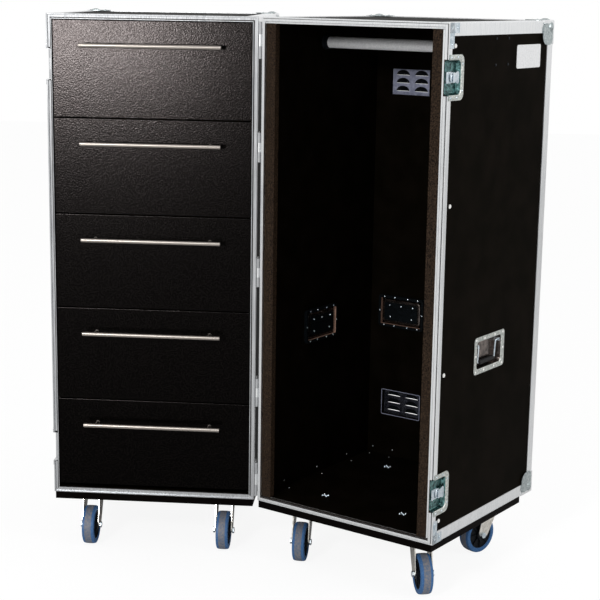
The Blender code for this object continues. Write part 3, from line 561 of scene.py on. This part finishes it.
def rivetDome(radius, height=1.3):
    return turning([(0, -0.6), (radius, -0.6), (radius, 0.15), (radius * 0.86, height * 0.62),
                    (radius * 0.45, height), (0, height * 1.04)], 14)


def rivetRow(places, facing, radius, height=1.3):
    return added(*[placed(rivetDome(radius, height), shiftBy(*place) @ facing) for place in places])


# Casters: a zinc fork on a ball race, an elastic wheel with blue sides and a worn pale tread
casterData = {
    "side": 84.0, "front": 88.0, "rear": 84.0,     # swivel axes from the faces
    "trail": 35.0,
    "wheelRadius": 50.0,
    "plate": (104.0, 86.0, 3.0),
    "boardUnder": -18.3,
    "places": {    # turn of each fork
        "drawer": {"front_left": 0.0, "front_right": 0.0, "rear_left": -14.0, "rear_right": 22.0},
        "wardrobe": {"front_left": 26.0, "front_right": 45.0, "rear_left": 12.0, "rear_right": -15.0},
    },
    # fork from floor level: underside and top of its crown, one arm seen along X, its inner face and sheet
    "crown": (121.1, 126.4),
    "arm": ((27, 125), (-30, 125), (-50.5, 50), (-21, 40)), "armEnd": 11.0, "armFace": 19.5, "armSheet": 3.0,
    # half profiles of the wheel, radius and distance from its middle
    "tyre": [(37.2, 13.5), (39.0, 15.4), (41.0, 15.9), (45.2, 15.7), (48.2, 14.6), (49.5, 11.6), (49.7, 7.0)],
    "tread": [(49.0, 8.8), (49.7, 8.6), (49.95, 7.6), (50.0, 5.0)],
    "hub": [(5.5, 18.4), (13.0, 18.4), (14.2, 17.4), (14.6, 11.8), (16.5, 10.8), (34.0, 10.8), (35.2, 11.8),
            (35.8, 13.6), (37.1, 13.9)],
}


def swivelPlace(half, name):
    near, far = caseNear + casterData["side"], caseFar - casterData["side"]
    left, right = (near, far) if half == "wardrobe" else (-far, -near)
    y = casterData["front"] if name.startswith("front") else caseDepth - casterData["rear"]
    return left if name.endswith("left") else right, y


def makeFork():
    # Pressed fork, origin on the swivel axis at floor level.
    low, top = casterData["crown"]
    fork = turning([(0, top), (20, top), (26.4, top - 1.6), (26.9, low + 1), (25, low), (0, low)], 36)
    for side in (-1, 1):
        arm = bmesh.new()
        face = side * casterData["armFace"]
        arm.faces.new([arm.verts.new((face, y, z)) for y, z in casterData["arm"]])
        roundCorners(arm, [v for v in arm.verts if v.co.z < 60], casterData["armEnd"], 6)
        extruded(arm, arm.faces[:], (side * casterData["armSheet"], 0, 0))
        added(fork, softenEdges(arm, 0.7))
    return fork


def makeAxle():
    nut = bmesh.new()
    bmesh.ops.create_cone(nut, cap_ends=True, segments=6, radius1=8.2, radius2=8.2, depth=5.0)
    placed(softenEdges(nut, 0.5), shiftBy(-25.1, 0, 0) @ turnBy(90, "Y"))
    head = placed(nut.copy(), shiftBy(50.2, 0, 0))
    shaft = turning(mirrored([(0, -27.4), (4.4, -27.4), (5.0, -26.6)]), 20, "x")
    return placed(added(shaft, nut, head), shiftBy(0, -casterData["trail"], casterData["wheelRadius"]))


def makeHub():
    ribs = [placed(block((side * 11.0, -1.3, 14.5), (side * 14.2, 1.3, 35.2)), turnBy(45 * i, "X"))
            for side in (-1, 1) for i in range(8)]
    return added(turning(mirrored(casterData["hub"]), 48, "x"), *ribs)


def makeCasters(half):
    for name, angle in casterData["places"][half].items():
        whole = half + "_" + name
        label, spot = camelName(whole), local(half, *swivelPlace(half, name), -caseData["lift"], angle)
        axle = spot @ Matrix.Translation(metres(0, -casterData["trail"], casterData["wheelRadius"]))
        fork, wheel = (whole + "_fork_body", spot), (whole + "_wheel_body", axle)
        tyre, tread = [turning(mirrored(casterData[part]), 64, "x") for part in ("tyre", "tread")]
        piece(makeFork(), label + "Fork", "forkZinc", fork, [whole + "_fork"])
        piece(makeAxle(), label + "Axle", "zinc", fork)
        piece(tyre, label + "Tyre", "tyreBlue", wheel, [whole + "_wheel"])
        piece(tread, label + "Tread", "tread", wheel)
        piece(makeHub(), label + "Hub", "hub", wheel)


for half in sideOf:
    makeCasters(half)
print("stage: casters")


# Caster boards: a thick board with its rear corners cut off, bolted plates and races under it
boardData = {"inset": 3.0, "thick": 18.0, "corner": 56.0, "front": 1.0, "top": -0.3}


def makeBoard(half):
    wide = caseWidth - 2 * boardData["inset"]
    deep = caseDepth - boardData["inset"] - boardData["front"]
    bm = roundedFace((wide, deep))
    roundCorners(bm, [v for v in bm.verts if v.co.y > 0], boardData["corner"], 1)
    softenEdges(grownUp(bm, -boardData["thick"]), 0.8)
    place = onHalf(half, sideOf[half] * caseMiddle, boardData["front"] + deep / 2, boardData["top"])
    piece(bm, half + "Board", "board", place, [half + "_caster_board"])


def makeTopPlate(half, name):
    # drawn down from the board's underside
    wide, deep, thick = casterData["plate"]
    plate = roundedSlab((wide, deep), 9.0, -thick, 0.5)
    race = turning([(0, 0), (26.0, 0), (26.8, -1.2), (26.8, -3.2), (24.6, -4.6), (26.6, -5.6), (26.4, -6.9),
                    (0, -6.9)], 36)
    added(plate, placed(race, shiftBy(0, 0, -thick)))
    for a, b in ((-1, -1), (-1, 1), (1, -1), (1, 1)):
        bolt = turning([(0, -4.2), (3.5, -4.2), (6.2, -2.2), (6.8, 0), (0, 0)], 16)
        added(plate, placed(bolt, shiftBy(a * (wide / 2 - 12), b * (deep / 2 - 12), -thick)))
    place = onHalf(half, *swivelPlace(half, name), casterData["boardUnder"])
    piece(plate, camelName(half + "_" + name) + "Plate", "zinc", place)


for half in sideOf:
    makeBoard(half)
    for name in casterData["places"][half]:
        makeTopPlate(half, name)
print("stage: caster boards")

# Drawers: a foil-wrapped front with eased edges, a birch-ply box, zinc slides and a bar pull
drawerData = {
    "count": 5, "inset": 15.0, "pitch": 238.6, "seam": 2.6, "toe": 9.0,
    "set": 3.0, "thick": 12.0,
    "box": (22.0, 185.0, 440.0, 9.0, 5.0, 27.8),     # rise, height, depth, wall, floor, gap at the side
    "slide": (20.8, 60.0, 10.0, 14.0, 6.0),          # gap, level, half height, and ends short of the box
    "pull": (348.0, 288.0, 5.5, 32.0, 60.0),         # length, between posts, radius, reach, below the top
}


def drawerLevel(index):
    # lower edge and height of a front, from the bottom; the lowest one is shorter
    top = caseHeight - drawerData["inset"] - (drawerData["count"] - 1 - index) * drawerData["pitch"]
    low = max(top - drawerData["pitch"] + drawerData["seam"], drawerData["inset"] + drawerData["toe"])
    return low, top - low


def makeDrawer(index):
    number = drawerData["count"] - index
    low, tall = drawerLevel(index)
    body = "drawer_%d" % number
    place = (body, local("drawer", -caseMiddle, 0, 0))
    half, face = caseWidth / 2, drawerData["set"]
    wide = half - drawerData["inset"]
    front = block((-wide, face, low), (wide, face + drawerData["thick"], low + tall), 1.3)
    piece(front, "drawerFront%d" % number, "pebbled", place, [body])
    shift, tallBox, long, wall, ground, gap = drawerData["box"]
    start, side, base = face + drawerData["thick"] - 0.5, half - gap, low + shift
    end, top, within = start + long, base + tallBox, side - wall
    walls = [block((left, near, base), (right, far, top), 0.6) for left, right, near, far in (
        (-side, -within, start, end), (within, side, start, end),
        (-within, within, start, start + wall), (-within, within, end - wall, end))]
    floor = block((-within, start + wall, base), (within, end - wall, base + ground))
    piece(added(*walls, floor), "drawerBox%d" % number, "drawerPly", place)
    gap, level, tallHalf, fore, aft = drawerData["slide"]
    outer, level = half - gap, level + base
    slides = [block((left, start + fore, level - tallHalf), (right, end - aft, level + tallHalf), 1.5)
              for left, right in ((-outer, -side), (side, outer))]
    piece(added(*slides), "drawerSlides%d" % number, "zinc", place)
    makePull(body, number, low + tall)


def makePull(body, number, top):
    long, posts, radius, reach, drop = drawerData["pull"]
    half = long / 2
    bar = turning(mirrored([(0, -half), (radius - 0.8, -half), (radius, -half + 0.8)]), 28, "x")
    placed(bar, shiftBy(0, -reach, 0))
    for side in (-1, 1):
        post = turning([(0, 0), (4.6, 0), (4.6, 1.2), (3.9, 2.0), (3.9, reach - 3), (0, reach - 3)], 20)
        added(bar, placed(post, shiftBy(side * posts / 2, -0.3, 0) @ turnBy(90, "X")))
    place = (body, local("drawer", -caseMiddle, drawerData["set"], top - drop))
    piece(bar, "drawerPull%d" % number, "steel", place, [body + "_pull"])


def shineOnFronts():
    # the low card shines on the drawer fronts alone, as a long highlight
    lit = bpy.data.collections.new("shineOnFronts")
    for item in bpy.context.scene.objects:
        if item.name.startswith(lightData["shineOn"]):
            lit.objects.link(item)
    bpy.data.objects["shineCard"].light_linking.receiver_collection = lit


for index in range(drawerData["count"]):
    makeDrawer(index)
shineOnFronts()
print("stage: drawers")


# Recessed lifting handles: a pressed dish, two lugs and a sprung bail with a black grip
handleData = {
    "flange": (150.0, 92.0), "corner": 9.0, "metal": 1.2,
    "well": (122.0, 68.0), "wellCorner": 9.0, "depth": 17.0, "draft": 3.0,
    "pivot": (-6.0, 22.0), "grip": (-8.6, -22.0), "span": 84.0, "rod": 2.6, "pin": 12.0, "lugs": (52.2, 55.0),
    "gripRadius": 6.2, "gripLength": 72.0, "gripRings": 9,
    "height": 426.0, "rivet": 2.9, "frameRise": 8.4, "tail": 2.6,
    # shares of half the flange, and, for the back, of half the well with a height
    "rivets": [(a, b) for b in (0.86, -0.86) for a in (-0.88, -0.34, 0.34, 0.88)] + [(-0.9, 0.0), (0.9, 0.0)],
    "backTails": ((-0.6, 17.0), (0.0, 17.0), (0.6, 17.0), (-0.56, -15.0), (0.56, -15.0)),
    "places": {    # half, x, y, and the way that the handle faces
        "drawer_side": ("drawer", caseData["panel"] - caseFar, 247.0, 180),
        "latch_side": ("wardrobe", caseFar - caseData["panel"], 247.0, 0),
        "hinge_side": ("wardrobe", caseNear + caseData["panel"], 247.0, 180),
        "back": ("wardrobe", 119.0, caseDepth - caseData["panel"], 90),
    },
}


def reshape(verts, before, after):
    # moves a rounded rectangle's points from (width, height, radius) to another such shape
    for vert in verts:
        for axis in (0, 1):
            sign = 1 if vert.co[axis] > 0 else -1
            centre = sign * (before[axis] / 2 - before[2])
            vert.co[axis] = (sign * (after[axis] / 2 - after[2])
                             + (vert.co[axis] - centre) * after[2] / before[2])


def pressedDish(data):
    # sheet with a flange, pressed in, then stood up so that its width runs along Y and it faces +X
    bm = roundedFace(data["flange"], data["corner"], 6)
    ring, (wide, tall), radius = (*data["flange"], data["corner"]), data["well"], data["wellCorner"]
    draft, metal = data["draft"], data["metal"]
    bottom = (wide - 2 * draft, tall - 2 * draft, radius)
    for target, drop in (((wide, tall, radius), 0.0), (bottom, data["depth"])):
        inner = [f for f in bm.faces if len(f.verts) > 4]
        moved = extruded(bm, inner, (0, 0, -drop))
        bmesh.ops.delete(bm, geom=inner, context="FACES_ONLY")
        reshape(moved, ring, target)
        ring = target
    bm.normal_update()
    softenEdges(bm, 2.0, 3, 40)
    facedOut(bm)
    flat = [f for f in bm.faces if abs(f.calc_center_median().z) < 0.01]
    if sum(f.normal.z for f in flat) < 0:
        bmesh.ops.reverse_faces(bm, faces=bm.faces[:])
    bmesh.ops.solidify(bm, geom=bm.faces[:], thickness=metal)
    for face in bm.faces:
        if face.calc_center_median().z < -metal - 1.5:
            face.material_index = 1      # inside of the well, which takes a darker finish: painted shade
    return placed(bm, shiftBy(0.3 + metal, 0, 0) @ standUp)


def roundedPath(path, radius, steps):
    # the path with each inner corner swept by a quadratic curve
    path = [Vector(point) for point in path]
    points = path[:1]
    for before, corner, after in zip(path, path[1:], path[2:]):
        legs = (before - corner, after - corner)
        reach = min(radius, *[leg.length * 0.45 for leg in legs])
        start, end = [corner + leg.normalized() * reach for leg in legs]
        for i in range(steps + 1):
            t = i / steps
            points.append(start * (1 - t) ** 2 + corner * 2 * t * (1 - t) + end * t ** 2)
    return points + path[-1:]


def bailRod():
    # bent rod from pivot to pivot, in the dish's outward (X), along (Y) and up (Z) directions
    half, (out, up), (gripOut, gripUp) = handleData["span"] / 2, handleData["pivot"], handleData["grip"]
    path = [(out, -half - handleData["pin"], up), (out, -half, up), (gripOut, -half, gripUp)]
    path += [(x, -y, z) for x, y, z in reversed(path)]
    curve = bpy.data.curves.new("bailPath", "CURVE")
    curve.dimensions = "3D"
    curve.bevel_depth = handleData["rod"]
    curve.bevel_resolution = 4
    curve.use_fill_caps = True
    spline = curve.splines.new("POLY")
    bent = roundedPath(path, 5.0, 5)
    spline.points.add(len(bent) - 1)
    for point, place in zip(spline.points, bent):
        point.co = (*place, 1.0)
    guide = linked("bailPath", curve)
    bm = asBmesh(evaluatedMesh(guide))
    bmesh.ops.remove_doubles(bm, verts=bm.verts[:], dist=0.001)
    bpy.data.curves.remove(curve)      # takes its object with it
    return bm


def gripProfile():
    # moulded grip with shallow rings
    half, radius, rings = handleData["gripLength"] / 2, handleData["gripRadius"], handleData["gripRings"]
    points = [(0, -half), (radius - 1.2, -half), (radius, -half + 1.2)]
    for i in range(rings):
        a = -half + 6 + (2 * half - 12) * i / (rings - 1)
        points += [(radius, a - 2.6), (radius - 0.45, a - 2.0), (radius - 0.45, a + 0.2), (radius, a + 0.8)]
    return points + [(radius, half - 1.2), (radius - 1.2, half), (0, half)]


def handlePlace(name):
    half, x, y, turn = handleData["places"][name]
    return camelName(name) + "Handle", onHalf(half, x, y, handleData["height"], turn)


def makeHandle(name):
    label, place = handlePlace(name)
    bail = (name + "_handle_body", place[1])
    dish = pressedDish(handleData)
    # the inside of the well takes panGrey, a warm dark copy of the zinc: painted shade and a painted warm
    # reflection
    piece(dish, label + "Dish", "flangeZinc", place, [name + "_handle_dish"], 40, "panGrey")
    (reach, rise), (near, far) = handleData["pivot"], handleData["lugs"]
    lugs = [block((1.0 - handleData["depth"], low, rise - 5), (reach + 5, high, rise + 5), 0.6)
            for low, high in ((-far, -near), (near, far))]
    piece(added(*lugs), label + "Lugs", "zinc", place)
    piece(bailRod(), label + "Rod", "zinc", bail, [name + "_handle"])
    out, up = handleData["grip"]
    grip = placed(turning(gripProfile(), 28, "x"), shiftBy(out, 0, up) @ turnBy(90, "Z"))
    piece(grip, label + "Grip", "rubber", bail)
    wide, tall = handleData["flange"]
    places = [(0.3 + handleData["metal"], a * wide / 2, b * tall / 2) for a, b in handleData["rivets"]]
    # the rivet heads are white as a painted highlight
    piece(rivetRow(places, outwardX, handleData["rivet"]), label + "Rivets", "whiteRivet", place)


def makeDishBack(name):
    # inside the case: a dark back over each well, painted shade, with a zinc edge, and the rivets' tails
    label, place = handlePlace(name)
    deep, rise = handleData["depth"] + handleData["metal"], handleData["frameRise"]
    wide, tall = handleData["well"]
    back = placed(roundedSlab((wide - 19, tall - 19), 5.0, 0.5), shiftBy(-deep - 0.6, 0, 0) @ standUp)
    added(back, block((-deep - 2.2, -0.42 * wide, 7.0), (-deep - 0.4, 0.42 * wide, 9.0), 0.3))
    piece(back, label + "Back", "shade", place)
    # frame round the dish: a dark face, and bare ply on the walls of its opening
    face = 0.1 - caseData["wall"] - rise
    ring = openRing((wide + 20, tall + 20), 9.0, 8.0, rise)
    ring.normal_update()
    for side in ring.faces:
        if side.normal.dot(side.calc_center_median()) < 0 and abs(side.normal.z) < 0.5:
            side.material_index = 1
    placed(ring, shiftBy(face, 0, 0) @ standUp)
    piece(ring, label + "Cutout", "shade", place, (), 20, "plyEdge")
    places = [(face, a * wide / 2, b * (tall / 2 + 5.5)) for a in (-0.86, -0.34, 0.34, 0.86) for b in (-1, 1)]
    places += [(face, a * wide / 2, 0.0) for a in (-1.10, 1.10)]
    places += [(-deep - 0.9, a * wide / 2, b) for a, b in handleData["backTails"]]
    piece(rivetRow(places, turnBy(-90, "Y"), handleData["tail"]), label + "Tails", "zinc", place)


for name in handleData["places"]:
    makeHandle(name)
for name in ("hinge_side", "back"):
    makeDishBack(name)
print("stage: handles")


# Louvred vents: a plate on the back wall, seen from inside through its cut-out
ventData = {
    "x": 122.0, "vents": {"lower": (166.0, "ventZinc"), "upper": (1049.0, "ventPale")},    # height and finish; the upper plate takes the paler copy of the sheet, painted light
    "plate": (164.0, 114.0), "corner": 5.0, "metal": 1.4, "bead": (124.4, 72.4, 1.8),
    "pitch": (57.0, 21.0), "louvre": (22.0, 15.0, 6.0), "rivet": 3.4, "rivets": (74.0, 50.0),
}


def quarterHood(x, z, size, inner=0.7):
    # upper half of an ellipsoid, starting inside the sheet
    bm = bmesh.new()
    bmesh.ops.create_uvsphere(bm, u_segments=28, v_segments=14, radius=1.0)
    bmesh.ops.scale(bm, vec=size, verts=bm.verts[:])
    bmesh.ops.translate(bm, vec=(x, 1.0, z), verts=bm.verts[:])
    slicedOff(bm, (0, 0, z + 0.02), (0, 0, 1))
    return slicedOff(bm, (0, inner, 0), (0, 1, 0))


def makeVent(which):
    # drawn facing +Y with the mouths open downwards
    (wide, tall, proud), (across, up) = ventData["louvre"], ventData["pitch"]
    sheet = placed(roundedSlab(ventData["plate"], ventData["corner"], ventData["metal"], 0.3),
                   Matrix(((1, 0, 0, 0), (0, 0, 1, 0.3), (0, 1, 0, 0), (0, 0, 0, 1))))
    facedOut(sheet)
    tools = []
    for column in (-0.5, 0.5):
        for row in (-1, 0, 1):
            x, z = column * across, row * up - 3.0
            within = (wide - 1.3, proud - 1.3, tall - 1.0)
            tools += [(quarterHood(x, z, (wide, proud, tall)), "UNION"),
                      (quarterHood(x, z - 0.4, within, -2.0), "DIFFERENCE")]
    bm = carved(sheet, tools)
    bm.normal_update()
    for face in bm.faces:
        if face.calc_center_median().y > 1.0 and face.normal.y < 0.1:
            face.material_index = 1      # inside of a hood, which takes a dark finish: painted shade
    height, finish = ventData["vents"][which]
    place = onHalf("wardrobe", ventData["x"], caseDepth - caseData["panel"], height)
    piece(bm, which + "VentPlate", finish, place, [which + "_vent"], 40, "shade")
    if which == "lower":
        # thin bright edging round this opening, on the inner wall
        wide, tall, thick = ventData["bead"]
        bead = openRing((wide, tall), 4.0, thick, 0.7)
        placed(bead, shiftBy(0, 0.1 - caseData["wall"], 0) @ turnBy(90, "X"))
        piece(bead, "lowerVentBead", "ventPale", place)
    x, z = ventData["rivets"]
    places = [(a * x, ventData["metal"] + 0.3, b * z) for a in (-1, 0, 1) for b in (-1, 1)]
    piece(rivetRow(places, outwardY, ventData["rivet"]), which + "VentRivets", "zinc", place)


for which in ventData["vents"]:
    makeVent(which)
print("stage: vents")


# Hanging rail and its end sockets
railData = {"y": 251.0, "z": 1156.0, "radius": 14.5, "socket": 19.0, "socketLength": 14.0}


def makeRail():
    low, high = caseNear + innerWall + 0.3, caseFar - innerWall - 0.3
    place = onHalf("wardrobe", 0, railData["y"], railData["z"])
    radius, big, length = railData["radius"], railData["socket"], railData["socketLength"]
    tube = turning([(0, low + 3), (radius, low + 3), (radius, high - 3), (0, high - 3)], 40, "x")
    piece(tube, "hangingRail", "rail", place, ["garment_rail"])
    sockets = [placed(turning([(0, 0), (big, 0), (big, 2.0), (big - 1.2, 3.0), (big - 2.2, 3.4),
                               (big - 2.2, length - 1), (big - 3.0, length), (0, length)], 36, "x"),
                      shiftBy(end, 0, 0) @ turnBy(turn, "Z")) for turn, end in ((0, low), (180, high))]
    piece(added(*sockets), "railSockets", "hub", place)


makeRail()
print("stage: rail")


# Ball corners at the rear, over the frame's own
cornerData = {
    "ball": 22.0, "proud": 5.6, "hollow": (9.0, 60.0),
    "from": 7.0, "lobe": (52.0, 29.0, 1.9), "rivet": 2.8, "rivetPlace": (1.6, 41.76, 8.0),
}


def cornerLobe(outward, axis):
    # rounded plate on one face, reaching along both of its edges
    reach, wide, lift = cornerData["lobe"]
    bm = roundedFace((reach, reach))
    inner = [v for v in bm.verts if v.co.x < 0 and v.co.y < 0]
    sides = [v for v in bm.verts if v.co.x * v.co.y < 0]
    roundCorners(bm, inner, reach - wide, 10)
    roundCorners(bm, sides, wide * 0.45, 5)
    grownUp(bm, lift)
    shift = -reach / 2 - cornerData["from"]
    turn = Matrix.Diagonal((0, 0, 0, 1))
    for column, row in enumerate(((axis + 1) % 3, (axis + 2) % 3, axis)):
        turn[row][column] = outward[row]
    return placed(bm, turn @ shiftBy(shift, shift, 0))


def makeBallCorner(half, across, up):
    side = sideOf[half]
    outward = Vector((side * (1 if across else -1), 1, 1 if up else -1))
    x = side * (caseFar if across else caseNear)
    ball = bmesh.new()
    bmesh.ops.create_uvsphere(ball, u_segments=40, v_segments=24, radius=cornerData["ball"])
    placed(ball, Matrix.Translation(-outward * (cornerData["ball"] - cornerData["proud"])))
    ends = [-outward * depth for depth in cornerData["hollow"]]
    hollow = block([min(pair) for pair in zip(*ends)], [max(pair) for pair in zip(*ends)])
    corner = added(carved(ball, [(hollow, "DIFFERENCE")]), *[cornerLobe(outward, axis) for axis in range(3)])
    metal, leg, beside = cornerData["rivetPlace"]
    for axis in range(3):
        normal = Vector((0, 0, 0))
        normal[axis] = outward[axis]
        turn = Vector((0, 0, 1)).rotation_difference(normal).to_matrix().to_4x4()
        for other in range(3):
            if other != axis:
                place = -outward * beside
                place[axis] = outward[axis] * metal
                place[other] = -outward[other] * leg
                added(corner, rivetRow([place], turn, cornerData["rivet"]))
    name = "%sBall%s%s" % (half, "Far" if across else "Near", "Top" if up else "Bottom")
    piece(corner, name, "cornerZinc", onHalf(half, x, caseDepth, up * caseHeight))


for half in sideOf:
    for across in (0, 1):
        for up in (0, 1):
            makeBallCorner(half, across, up)
print("stage: ball corners")


# Rivets on the free side walls, dark screws that hold the rail, dark lines of painted shade in the rims'
# grooves, a thin strip beside the stile, and two braces; a rivet and a screw have a radius and a height
trimData = {
    "rivetHeights": (53.0, 410.0, 807.0, 1168.0), "rivetY": 30.5, "rivet": (5.2, 2.0),
    "screwY": (221.0, 281.0), "screwZ": (1120.0, 1181.0), "screw": (3.6, 1.6),
    "strip": (13.4, 17.9), "stripFront": (1.2, 3.0), "stripEnd": 15.6,
    "brace": (58.0, 20.0, 42.0, 24.0), "braceRivet": 2.6,
    "latchGap": 40.5,      # half the height of a latch's notch in the rim
    "lines": (    # half, insets, front, thickness, and the sides that it runs along; each line is a dark strip of painted shade
        ("wardrobe", (3.2, 4.5), 0.05, 0.5, ("hinge", "latch", "top")),
        ("wardrobe", (11.0, 14.8), 4.75, 0.4, ("bottom",)),
        ("drawer", (8.8, 11.0), 4.5, 0.5, ("hinge", "latch", "top")),
    ),
}


def makeSideRivets(half):
    side = sideOf[half]
    place = onHalf(half, side * (caseFar - caseData["panel"]), turn=0 if side > 0 else 180)
    rivets = [(0.2, side * trimData["rivetY"], z) for z in trimData["rivetHeights"]]
    # the rivet heads are white as a painted highlight
    piece(rivetRow(rivets, outwardX, *trimData["rivet"]), half + "SideRivets", "whiteRivet", place)


def makeRailScrews():
    places = [(0.2, y, z) for y in trimData["screwY"] for z in trimData["screwZ"]]
    domes = rivetRow(places, outwardX, *trimData["screw"])
    piece(domes, "railScrews", "hub", onHalf("wardrobe", caseFar - caseData["panel"]))


def makeTrimStrip():
    # thin strip between the latch-side stile and the rim
    (near, far), (front, back), end = trimData["strip"], trimData["stripFront"], trimData["stripEnd"]
    strip = block((caseFar - far, front, end), (caseFar - near, back, caseHeight - end), 0.4)
    piece(strip, "latchSideStrip", "alloyUpright", onHalf("wardrobe"))


def makeRimShadeLines(half, insets, front, thick, sides):
    # dark lines of painted shade that run round a front rim, between two insets, where the profile's grooves
    # and steps fall in shade
    near, far = insets
    left, right, high = caseNear + near, caseFar - near, caseHeight - near
    wide, gap = far - near, trimData["latchGap"]
    stops = [near] + [z + way * gap for z in latchHeights.values() for way in (-1, 1)] + [high]
    strips = {
        "hinge": [(left, left + wide, near, high)],
        "latch": [(right - wide, right, low, top) for low, top in zip(stops[::2], stops[1::2])],
        "top": [(left, right, high - wide, high)],
        "bottom": [(left, right, near, far)],
    }
    blocks = []
    for x, farX, low, top in sum([strips[side] for side in sides], []):
        x, farX = sorted((sideOf[half] * x, sideOf[half] * farX))
        blocks.append(block((x, front, low), (farX, front + thick, top)))
    piece(added(*blocks), "%sRimLine%d" % (half, near * 10), "oxide", onHalf(half))


def makeBrace(up):
    # speckled steel brace over the front corner of the wardrobe half's free side
    tall, deep, long, high = trimData["brace"]
    places = [(0.8, deep * 0.55, tall - 9), (0.8, long - 9, high * 0.5), (0.8, deep * 0.5, high * 0.5)]
    plates = [block((0.1, 1.2, 0.8), (0.7, y, z), 0.2) for y, z in ((deep, tall), (long, high))]
    whole = added(*plates, rivetRow(places, outwardX, trimData["braceRivet"]))
    if up:
        placed(whole, Matrix.Scale(-1, 4, Vector((0, 0, 1))))
        bmesh.ops.reverse_faces(whole, faces=whole.faces[:])
    place = onHalf("wardrobe", caseFar, 0, up * caseHeight)
    piece(whole, "frontBrace" + ("Top" if up else "Bottom"), "zinc", place)


# Tails inside the wardrobe half: of rivets along the bottom edges, and of bolts over the casters
tailData = {
    "up": 16.0, "rivet": 2.6, "bolt": (3.0, 3.4),
    "rivetY": (98.0, 247.0, 390.0), "rivetX": (36.0, 100.0),
    "bolts": ((145.0, 105.0), (144.0, 403.0), (375.0, 110.0)),
    "boltSpread": ((-6, -4), (6, -4), (-6, 5), (6, 5), (0, 0)),
}


def makeTails():
    low, up = innerWall, tailData["up"]
    near, back = caseNear + innerWall, caseDepth - innerWall
    tails = []
    for y in tailData["rivetY"]:
        tails += [((near, y, low + up), outwardX), ((near + up, y, low), Matrix())]
    for x in tailData["rivetX"]:
        tails += [((x, back, low + up), turnBy(90, "X")), ((x, back - up, low), Matrix())]
    domes = added(*[rivetRow([place], facing, tailData["rivet"]) for place, facing in tails])
    places = [(x + dx, y + dy, low) for x, y in tailData["bolts"] for dx, dy in tailData["boltSpread"]]
    added(domes, rivetRow(places, Matrix(), *tailData["bolt"]))
    piece(domes, "floorTails", "zinc", onHalf("wardrobe"))


for line in trimData["lines"]:
    makeRimShadeLines(*line)
for up in (0, 1):
    makeBrace(up)
for half in sideOf:
    makeSideRivets(half)
makeRailScrews()
makeTails()
makeTrimStrip()
print("stage: rivets and screws")


# Butterfly latches in half dishes that open into the mating plane
latchData = {
    "flange": (132.0, 102.0), "corner": 15.0, "well": (110.0, 78.0), "wellCorner": 12.0,
    "depth": 11.5, "draft": 4.0, "metal": 1.2, "front": 0.5,
    "base": -9.7,          # top of the dish's floor, where the hook slides
    "rotor": 28.0, "wingPin": -2.7, "rivet": 2.9,
    "rivets": ((10.0, 45.0), (38.0, 45.0), (60.5, 30.0), (60.5, -30.0), (38.0, -45.0), (10.0, -45.0)),
}


def makeLatch(which):
    place = onHalf("wardrobe", caseFar, 0, latchHeights[which])
    dish = slicedOff(pressedDish(latchData), (0, latchData["front"], 0), (0, 1, 0))
    # the inside of the well takes a dark copy of the zinc: painted shade
    piece(dish, which + "LatchDish", "flangeZinc", place, [which + "_latch_dish"], 40, "zincDeep")
    domes = rivetRow([(1.5, y, z) for y, z in latchData["rivets"]], outwardX, latchData["rivet"])
    piece(domes, which + "LatchRivets", "zinc", place)
    for part, make in (("hook", makeHook), ("rotor", makeRotor), ("wing", makeWing)):
        node = "%s_latch_%s" % (which, part)
        piece(make(), camelName(node), "zinc", (node + "_body", place[1]), [node])


def makeHook():
    # tongue-shaped plate on the dish's floor with an upturned lip at its front
    plate = roundedFace((30.0, 26.0))
    roundCorners(plate, [v for v in plate.verts if v.co.x > 0], 11.0, 8)
    placed(softenEdges(grownUp(plate, 2.4), 0.5), shiftBy(0, 20.5, 0) @ standUp)
    lip = block((0.6, 3.2, -13), (5.2, 5.8, 13), 0.8)
    shoulders = [block((2.0, 8.0, z - 1.6), (3.4, 30.0, z + 1.6), 0.6) for z in (-10.2, 10.2)]
    return placed(added(plate, lip, *shoulders), shiftBy(latchData["base"], 0, 0))


def makeRotor():
    # disc with a raised ring and two ears that carry the wing's pin
    disc = turning([(0, 2.9), (11.4, 2.9), (12, 3.5), (12, 4.4), (11.2, 5.1), (8.2, 5.1), (7.6, 4.7),
                    (6.8, 4.7), (6.2, 5.1), (0, 5.1)], 36, "x")
    ears = [block((4, -2.6, low), (9.0, 2.6, low + 2.6), 0.9) for low in (-11.2, 8.6)]
    return placed(added(disc, *ears), shiftBy(latchData["base"], latchData["rotor"], 0))


def makeWing():
    # plate that narrows towards its pin, with a raised grip
    out, along = latchData["wingPin"], latchData["rotor"]
    wing = roundedFace((33.0, 24.0))
    bmesh.ops.scale(wing, vec=(0.48, 1, 1), verts=[v for v in wing.verts if v.co.y < 0])
    roundCorners(wing, [v for v in wing.verts if v.co.y > 0], 8.5, 7)
    softenEdges(placed(grownUp(wing, 2.0), shiftBy(0, 0, -1.0)), 0.7, 3)
    # drawn with its width along X and its reach along Y: width goes to Z, thickness to X
    placed(wing, Matrix(((0, 0, 1, out), (0, 1, 0, along + 10.8), (1, 0, 0, 0), (0, 0, 0, 1))))
    grip = placed(block((-0.9, -1.0, -8.0), (0.9, 1.0, 8.0), 0.8), shiftBy(out + 0.9, along + 16.5, 0))
    pin = turning(mirrored([(0, -11.6), (1.5, -11.6), (1.8, -11.3)]), 16, "x")
    return added(wing, grip, placed(pin, shiftBy(out, along, 0) @ turnBy(90, "Y")))


for which in latchHeights:
    makeLatch(which)
print("stage: latches")
